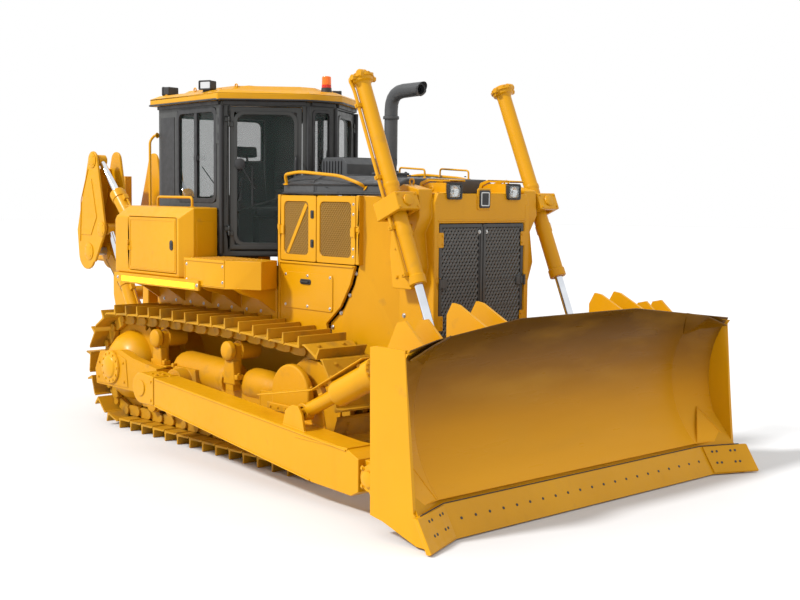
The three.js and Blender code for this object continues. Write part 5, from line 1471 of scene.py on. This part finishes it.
def seat_cushions():
    """The seat's cushion with side bolsters, its backrest and its headrest."""
    cushion = [block((0.55, 1.00), (-0.225, 0.225), (2.270, 2.345), 0.03, 4),
               block((0.55, 0.98), (-0.235, -0.165), (2.275, 2.362), 0.028, 4),
               block((0.55, 0.98), (0.165, 0.235), (2.275, 2.362), 0.028, 4)]
    back = plate([(0.555, 2.37), (0.44, 2.86), (0.475, 2.875), (0.525, 2.86), (0.605, 2.40)], "y", -0.215,
                 0.215, 0.018, 3)
    head = plate([(0.43, 2.90), (0.445, 3.015), (0.50, 3.015), (0.52, 2.90)], "y", -0.13, 0.13, 0.02, 3)
    return [soft_pad(cushion, 0.012), soft_pad([back], 0.012), soft_pad([head], 0.010)]


cushions = seated("seat_cushions", seat_cushions(), seat_cloth, "machine", ["seat"], smooth=60)


def seat_seams():
    """Piping round the cushion and across the back, laid after the pads have swelled."""
    made = [tube([(0.66, y, 2.356), (0.86, y, 2.360), (0.95, y, 2.350)], 0.004, 0.03,
                 8) for y in (-0.13, 0.13)]
    made += [tube([(x, -0.13, 2.359), (x, 0.13, 2.359)], 0.004, 0.02, 8) for x in (0.70, 0.84)]
    made += [tube([(0.596, y, 2.50), (0.548, y, 2.74)], 0.004, 0.02, 8) for y in (-0.12, 0.12)]
    return made


seated("seat_seams", seat_seams(), hose_rubber, "machine")


def controls():
    """The seat's base, armrests with levers, monitor, and the dash's trim."""
    made = [plate([(0.58, 1.93), (0.60, 2.255), (0.90, 2.255), (0.92, 1.93)], "y", -0.145, 0.145, 0.012, 2)]
    made += [block((0.575, 0.88), (y - 0.016, y + 0.016), (2.235, 2.268), 0.006) for y in (-0.17, 0.17)]
    made.append(bar((0.50, 0, 2.85), (0.485, 0, 2.92), 0.012, sides=12))
    for side in (-1, 1):
        y = side * 0.43
        made.append(block((0.50, 0.92), (y - 0.07, y + 0.07), (2.425, 2.485), 0.022, 3))
        made.append(block((0.56, 1.07), (y - 0.085, y + 0.085), (2.418, 2.430), 0.004))
        made.append(turned([(0, 0), (0, 0.035), (0.02, 0.032), (0.05, 0.014), (0.13, 0.012), (0.15, 0.026),
                            (0.20, 0.030),
                            (0.235, 0.024), (0.245, 0.010), (0.245, 0)], (1.00, y, 2.425), (0.08, 0, 1), 20))
    made.append(block((1.432, 1.446), (-0.13, 0.13), (2.30, 2.53), 0.004))
    made += [turned([(0, 0), (0, 0.032), (0.006, 0.034), (0.012, 0.028), (0.012, 0)], (1.432, y, 2.45),
                    (-1, 0, 0), 24)
             for y in (-0.075, 0.0, 0.075)]
    made.append(placed(block((-0.012, 0.012), (-0.10, 0.10), (-0.07, 0.07), 0.008), (1.50, -0.25, 2.62),
                       (-1, 0.3, 0.1),
                       (0.3, 1, 0)))
    made.append(tube([(1.50, -0.13, 2.50), (1.505, -0.22, 2.54), (1.505, -0.245, 2.60)], 0.009, 0.03, 8))
    made += [placed(block((-0.05, 0.05), (-0.045, 0.045), (-0.008, 0.008), 0.005), (1.36, y, 2.03),
                    (0.8, 0, 0.6), (0, 1, 0))
             for y in (-0.12, 0.12)]
    made += [tube([(1.38, y, 2.02), (1.44, y, 1.96)], 0.010, 0.02, 8) for y in (-0.12, 0.12)]
    return made


seated("cab_controls", controls(), black_plastic, "machine")

# ---------------------------------------------------------------- side boxes, fenders and tank
def box_top():
    """The box's lid seam, top rail and front handle."""
    made = [block((-0.115, 1.12), (-1.16, -0.90), (2.356, 2.364), 0.003)]
    made += rail([(0.32, -1.02, 2.362), (0.32, -1.02, 2.46), (0.98, -1.02, 2.46), (0.98, -1.02, 2.362)],
                 0.014, 0.05)
    made += [block((1.238, 1.246), (-1.14, -0.93), (1.72, 2.22), 0.003)]
    return made


for side in SIDES:
    skinned("side_box_" + side, yellow, sided(side, box_top()), 0.014, 3)
box_ribs = [ring_plate(corner_rounded(0.185, 1.065, 1.715, 2.235, 0.03),
                       corner_rounded(0.20, 1.05, 1.73, 2.22, 0.025), "y",
                       -1.280, -1.2835, 0.001)]
skinned("side_box_door_right", yellow, box_ribs, 0.005, 2)
seated("side_box_lock", [plate(corner_rounded(0.975, 1.03, 1.93, 2.03, 0.026), "y", -1.279, -1.290, 0.003),
                         plate(corner_rounded(0.992, 1.013, 1.955, 2.005, 0.010), "y", -1.289, -1.294,
                               0.002)], black_plastic,
       "side_box_door")


def anti_slip():
    """Raised studs on the step and the deck's front."""
    spots = [(1.33 + 0.065 * i, -0.875 - 0.062 * j) for i in range(11) for j in range(7 if i < 10 else 4)]
    stud = bar((0, 0, 0), (0, 0, 0.006), 0.012, 0.009, 8, 0)
    return repeated(stud, [Matrix.Translation((x, y, 1.870)) for x, y in spots])


pair("step_studs_right", anti_slip(), grip_yellow, "machine", "yellow_paint")


def fender_fittings():
    """The step's toe plates, and the ribs under the deck."""
    made = [block((1.27, 1.97), (-1.308, -1.298), (1.845, 1.872), 0.004),
            block((1.268, 1.965), (-1.306, -1.298), (1.615, 1.628), 0.003)]
    made += [block((x, x + 0.012), (-1.306, -1.298), (1.63, 1.845), 0.003) for x in (1.272, 1.955)]
    for x in (-0.04, 0.47, 0.98, 1.50, 2.08):
        made.append(block((x - 0.02, x + 0.045), (-1.10, -0.80), (1.590, 1.604), 0.003))
    return made


for side in SIDES:
    skinned("fender_" + side, yellow, sided(side, fender_fittings()), 0.006, 2)
pair("fender_bolts_right", [*bolts([(x, -1.331, 1.61) for x in (0.02, 1.535)], OUT, 0.012),
                            *bolts([(x, -1.301, z) for x in (1.31, 1.93) for z in (1.66, 1.81)], OUT, 0.010),
                            *bolts([(x, -0.800, z) for x in (0.08, 0.32, 0.60, 0.85, 1.12, 1.36, 1.62,
                                                             1.86) for z in
                                    (1.36, 1.52)], OUT, 0.012)], zinc, "machine", "chrome_rod")
pair("skirt_strip_right", block((0.10, 1.50), (-1.3345, -1.329), (1.575, 1.632), 0.002), bright_strip,
     "machine",
     "yellow_paint")


def tank_fittings():
    """Straps, filler cap and grab rail."""
    made = [block((-0.606, -0.60), (y, y + 0.06), (1.53, 2.15), 0.002) for y in (-0.50, 0.44)]
    made.append(turned([(0, 0), (0, 0.072), (0.012, 0.078), (0.040, 0.078), (0.050, 0.068), (0.050, 0)],
                       (-0.35, 0.42, 2.245),
                       (0, 0, 1), 36))
    made += rail([(-0.30, -0.20, 2.238), (-0.30, -0.20, 2.32), (-0.30, 0.22, 2.32), (-0.30, 0.22, 2.238)],
                 0.012, 0.04)
    return made


skinned("fuel_tank", yellow, tank_fittings(), 0.016, 3)
pair("rear_post_rail_right", rail([(-0.10, -0.86, 2.345), (-0.10, -0.86, 3.06), (-0.10, -0.80, 3.12),
                                   (-0.06, -0.79, 3.12)],
                                  0.014, 0.05), yellow, "machine", "yellow_paint")
pair("tail_lamps_right", [block((-0.128, -0.118), (-1.16, -1.02), (2.02, 2.12), 0.006)], black_plastic,
     "machine",
     "black_paint")
pair("tail_lenses_right", [block((-0.136, -0.126), (-1.15, -1.03), (2.03, 2.11), 0.006)], red_lens, "machine",
     "black_paint")

# ---------------------------------------------------------------- engine seen through the grilles
seated("engine_finished", [skin("engine", 0.02, 3), *[block((x, x + 0.012), (-0.345, -0.33), (1.34, 2.26),
                                                            0.003)
                                                      for x in (2.32, 2.55, 2.78, 3.01, 3.24)],
                           *[block((2.26, 3.38), (-0.36, -0.33), (z, z + 0.05), 0.01) for z in (1.62, 2.02)]],
       engine_paint, "machine", ["engine"])

# ---------------------------------------------------------------- ripper
LANE = 0.475
LINK_FOOT, BEAM_PIN = (-0.95, 0.75), (-1.98, 1.78)
PITCH_FOOT, PITCH_EYE = (-0.85, 1.85), (-1.88, 2.88)
RIP_FOOT, RIP_EYE = (-0.80, 0.62), (-1.67, 2.06)


def lane_way(foot, eye):
    """The direction from a cylinder's foot to its eye, in the machine's long plane."""
    return Vector((eye[0] - foot[0], 0, eye[1] - foot[1])).normalized()


def ripper_barrel(foot, eye, length, radius, rod_radius, pin, side):
    """A ripper cylinder's barrel with its flanged head, port block, pipe and eye."""
    way, y = lane_way(foot, eye), side * LANE
    origin = Vector((foot[0], y, foot[1]))
    up = way.cross(Vector((0, 1, 0)))
    if up.z < 0:
        up = -up
    made = [turned([(0.05, 0), (0.05, radius * 0.8), (0.075, radius), (length - 0.10, radius),
                    (length - 0.095, radius + 0.010),
                    (length - 0.005, radius + 0.010), (length + 0.012, radius + 0.004),
                    (length + 0.012, rod_radius + 0.002),
                    (0.11, rod_radius + 0.002), (0.11, 0)], origin, way, 40)]
    made.append(turned([(0, 0), (0, pin + 0.030), (0.006, pin + 0.038), (0.150, pin + 0.038),
                        (0.156, pin + 0.030),
                        (0.156, 0)], origin + Vector((0, side * 0.078, 0)), (0, -side, 0), 36))
    made.append(turned([(0, 0), (0, pin * 1.1), (0.012, pin * 1.1), (0.016, pin * 0.7), (0.016, 0)],
                       Vector((foot[0], side * 0.588, foot[1])), (0, side, 0), 28))
    ring = [origin + way * (length + 0.010) + (up * math.cos(a) + Vector((0, 1,
                                                                          0)) * math.sin(a)) * radius * 0.82
            for a in (FULL_TURN * i / 8 for i in range(8))]
    made += bolts(ring, way, 0.009)
    for distance in (0.16, length - 0.16):
        made.append(placed(block((-0.035, 0.035), (-0.03, 0.03), (0, 0.05), 0.006),
                           origin + way * distance + up * radius * 0.9,
                           way, up.cross(way)))
    made.append(tube([origin + way * 0.16 + up * (radius + 0.02), origin + way * 0.22 + up * (radius + 0.028),
                      origin + way * (length - 0.20) + up * (radius + 0.028),
                      origin + way * (length - 0.15) + up * (radius + 0.01)], 0.011, 0.03, 10))
    return made


def sleeve(foot, pin):
    """The round sleeve on a pin at a cylinder's foot."""
    return turned([(0, pin), (0, pin + 0.024), (0.796, pin + 0.024), (0.796, pin)],
                  (foot[0], -0.398, foot[1]), (0, 1, 0), 28)


for name, foot, eye, length, radius, rod_radius, pin, inner in (
        ("ripper_lift", RIP_FOOT, RIP_EYE, 1.01, 0.08, 0.04, 0.036, 0.56),
        ("ripper_pitch", PITCH_FOOT, PITCH_EYE, 0.90, 0.085, 0.042, 0.038, 0.52)):
    barrels = [piece for side in (-1, 1) for piece in ripper_barrel(foot, eye, length, radius, rod_radius,
                                                                    pin, side)]
    seated(name + "_barrels", [*barrels, sleeve(foot, pin)], yellow, name + "_cylinders",
           [name + "_cylinders"])
    way = lane_way(foot, eye)
    for side, sign in (("right", -1), ("left", 1)):
        start = Vector((foot[0], sign * LANE, foot[1])) + way * inner
        end = Vector((eye[0], sign * LANE, eye[1]))
        shaft, ring = rod_with_eye(start, end, rod_radius, 0.068, 0.055, (0, 1, 0))
        seated(name + "_rod_shaft_" + side, shaft, chrome, name + "_rods",
               [name + "_rod_" + side])
        seated(name + "_rod_eye_" + side, ring, yellow, name + "_rods")


def beam_fittings():
    """Pin bosses, beads, hole rims and bolts on one side of the ripper's beam."""
    made = []
    for x, z, radius in ((*BEAM_PIN, 0.10), (*PITCH_EYE, 0.085), (*RIP_EYE, 0.085)):
        made.append(turned([(0, 0), (0, radius), (0.010, radius + 0.004), (0.016, radius * 0.8),
                            (0.022, radius * 0.5),
                            (0.022, 0)], (x, -0.588, z), OUT, 36))
        made += bolts(on_circle((x, -0.602, z), "y", radius * 0.72, 4, 45), OUT, 0.010)
    made.append(bead([(-2.19, -0.594, 1.90), (-2.16, -0.594, 2.40), (-1.98, -0.594, 2.78)], 0.006))
    made.append(plate([(-2.17, 1.98), (-2.02, 2.64), (-1.90, 2.66), (-1.78, 2.20), (-1.92, 1.98)], "y",
                      -0.588, -0.598, 0.004))
    return made


pocket_ribs = [block((-2.452, -1.918), (-0.262, 0.262), (z, z + 0.05), 0.008) for z in (1.66, 2.05)]
skinned("ripper_beam", yellow, [*both(beam_fittings()), *pocket_ribs,
                                *bolts([(-2.446, y, z) for y in (-0.19, 0.19) for z in (1.76, 1.98)],
                                       (-1, 0, 0), 0.016)],
        0.010, 3)


def shank_fittings():
    """The shank's wear point, shin guard and pin holes."""
    tip = plate([(-1.862, 0.634), (-1.872, 0.612), (-2.09, 0.676), (-2.23, 0.80), (-2.16, 0.88),
                 (-2.01, 0.835)], "y", -0.058,
                0.058, 0.010, 2)
    shin = plate([(-2.052, 1.25), (-2.002, 0.84), (-1.985, 0.845), (-2.034, 1.27)], "y", -0.052, 0.052, 0.004)
    holes = [turned([(0, 0), (0, 0.036), (0.094, 0.036), (0.094, 0)], (-2.21, -0.047, z), (0, 1, 0), 24)
             for z in (2.35, 2.52, 2.64, 1.45, 1.30)]
    return [tip, shin, *holes]


skinned("ripper_shank", yellow, shank_fittings(), 0.006, 2)
skinned("ripper_link", yellow, [
    *[turned([(0, 0), (0, 0.10), (0.012, 0.104), (0.018, 0.08), (0.018, 0)], (x, y, z), (0, way, 0), 36)
      for x, z in (LINK_FOOT, BEAM_PIN) for y, way in ((-0.352, -1), (0.352, 1))],
    *[bead([(LINK_FOOT[0] + 0.02, y, LINK_FOOT[1] + 0.085), (BEAM_PIN[0] + 0.08, y, BEAM_PIN[1] - 0.04)],
           0.007)
      for y in (-0.33, 0.33)]], 0.010, 3)
seated("ripper_pins_finished", [turned([(0, 0), (0, 0.046), (0.004, 0.050), (1.160, 0.050), (1.164, 0.046),
                                        (1.164, 0)],
                                       (BEAM_PIN[0], -0.582, BEAM_PIN[1]), (0, 1, 0), 36)], machined,
       "ripper_pins",
       ["ripper_pins"])
seated("ripper_pitch_pin", [turned([(0, 0), (0, 0.034), (0.004, 0.038), (1.176, 0.038), (1.180, 0.034),
                                    (1.180, 0)],
                                   (PITCH_FOOT[0], -0.59, PITCH_FOOT[1]), (0, 1, 0), 32)], machined,
       "ripper_pitch_shaft",
       ["ripper_pitch_shaft"])


def bracket_fittings():
    """Stiffener ribs, beads and bolts of the ripper's bracket on one side."""
    made = [block((-0.692, -0.678), (-0.54, -0.10), (z, z + 0.03), 0.004) for z in (1.32, 1.58)]
    made.append(bead([(-0.684, -0.562, 0.70), (-0.684, -0.562, 1.90)], 0.008))
    made += [turned([(0, 0), (0, r), (0.010, r + 0.003), (0.014, r * 0.7), (0.014, 0)], (x, -0.589, z), OUT,
                    32)
             for x, z, r in ((*RIP_FOOT, 0.062), (*PITCH_FOOT, 0.066))]
    made += bolts([(-0.681, y, z) for y in (-0.50, -0.14) for z in (0.60, 1.24, 1.86)], (-1, 0, 0), 0.016)
    return made


skinned("ripper_bracket", yellow, both(bracket_fittings()), 0.010, 3)


def hydraulic_lines():
    """Rubber hoses from the body to the ripper's cylinders, held down at both ends."""
    made = []
    for index in range(3):
        y = -0.30 + 0.055 * index
        made.append(tube([(-0.22, y, 2.235), (-0.22, y, 2.33), (-0.56, y, 2.30), (-0.64, y, 2.06),
                          (-0.66, y, 1.955)], 0.015,
                         0.12, 10))
    return made


pair("ripper_pipes", hydraulic_lines(), hose_rubber, "machine", "black_paint")

# ---------------------------------------------------------------- stage, light and camera
def floor():
    """A pale studio floor that reaches past the view."""
    take()
    bpy.ops.mesh.primitive_circle_add(vertices=96, radius=90, fill_type="NGON", location=(0, 0, -0.002))
    obj = bpy.context.object
    obj.name = "studio_floor"
    material = made_of("studio_floor_paint", Roughness=0.9)
    shaded(material, ramp(material, noise(material, 0.6, 3),
                          [(0.3, (0.63, 0.63, 0.63)), (0.7, (0.66, 0.66, 0.66))]))
    obj.data.materials.append(material)


def lamp(name, direction, strength, spread):
    """A soft light from one direction."""
    data = bpy.data.lights.new(name, "SUN")
    data.energy = strength
    data.angle = math.radians(spread)
    obj = bpy.data.objects.new(name, data)
    obj.rotation_mode = "QUATERNION"
    obj.rotation_quaternion = Vector(direction).to_track_quat("Z", "Y")
    bpy.context.scene.collection.objects.link(obj)


def studio():
    """A white world and one sun."""
    world = bpy.data.worlds.new("studio")
    world.use_nodes = True
    world.node_tree.nodes["Background"].inputs["Color"].default_value = (1.0, 1.0, 1.0, 1)
    world.node_tree.nodes["Background"].inputs["Strength"].default_value = 1.0
    bpy.context.scene.world = world
    lamp("key", (-0.25, -0.80, 0.78), 3.5, 7)
    bpy.context.scene.view_settings.view_transform = "Standard"


def camera():
    """The camera, to the machine's right and ahead of it, a little above the hood."""
    azimuth, elevation, roll = math.radians(47.7), math.radians(4.9), math.radians(0.62)
    back = Vector((math.sin(azimuth) * math.cos(elevation), -math.cos(azimuth) * math.cos(elevation),
                   math.sin(elevation)))
    right = Vector((math.cos(azimuth), math.sin(azimuth), 0))
    up = back.cross(right)
    right, up = (right * math.cos(roll) + up * math.sin(roll), up * math.cos(roll) - right * math.sin(roll))
    data = bpy.data.cameras.new("camera")
    data.lens = 55.8
    data.sensor_width = 36
    data.clip_end = 500
    obj = bpy.data.objects.new("camera", data)
    place = Vector((11.73, -7.94, 2.52)) + AXLE
    obj.matrix_world = Matrix((right, up, back)).transposed().to_4x4()
    obj.location = place
    bpy.context.scene.collection.objects.link(obj)
    bpy.context.scene.camera = obj


floor()
studio()
camera()
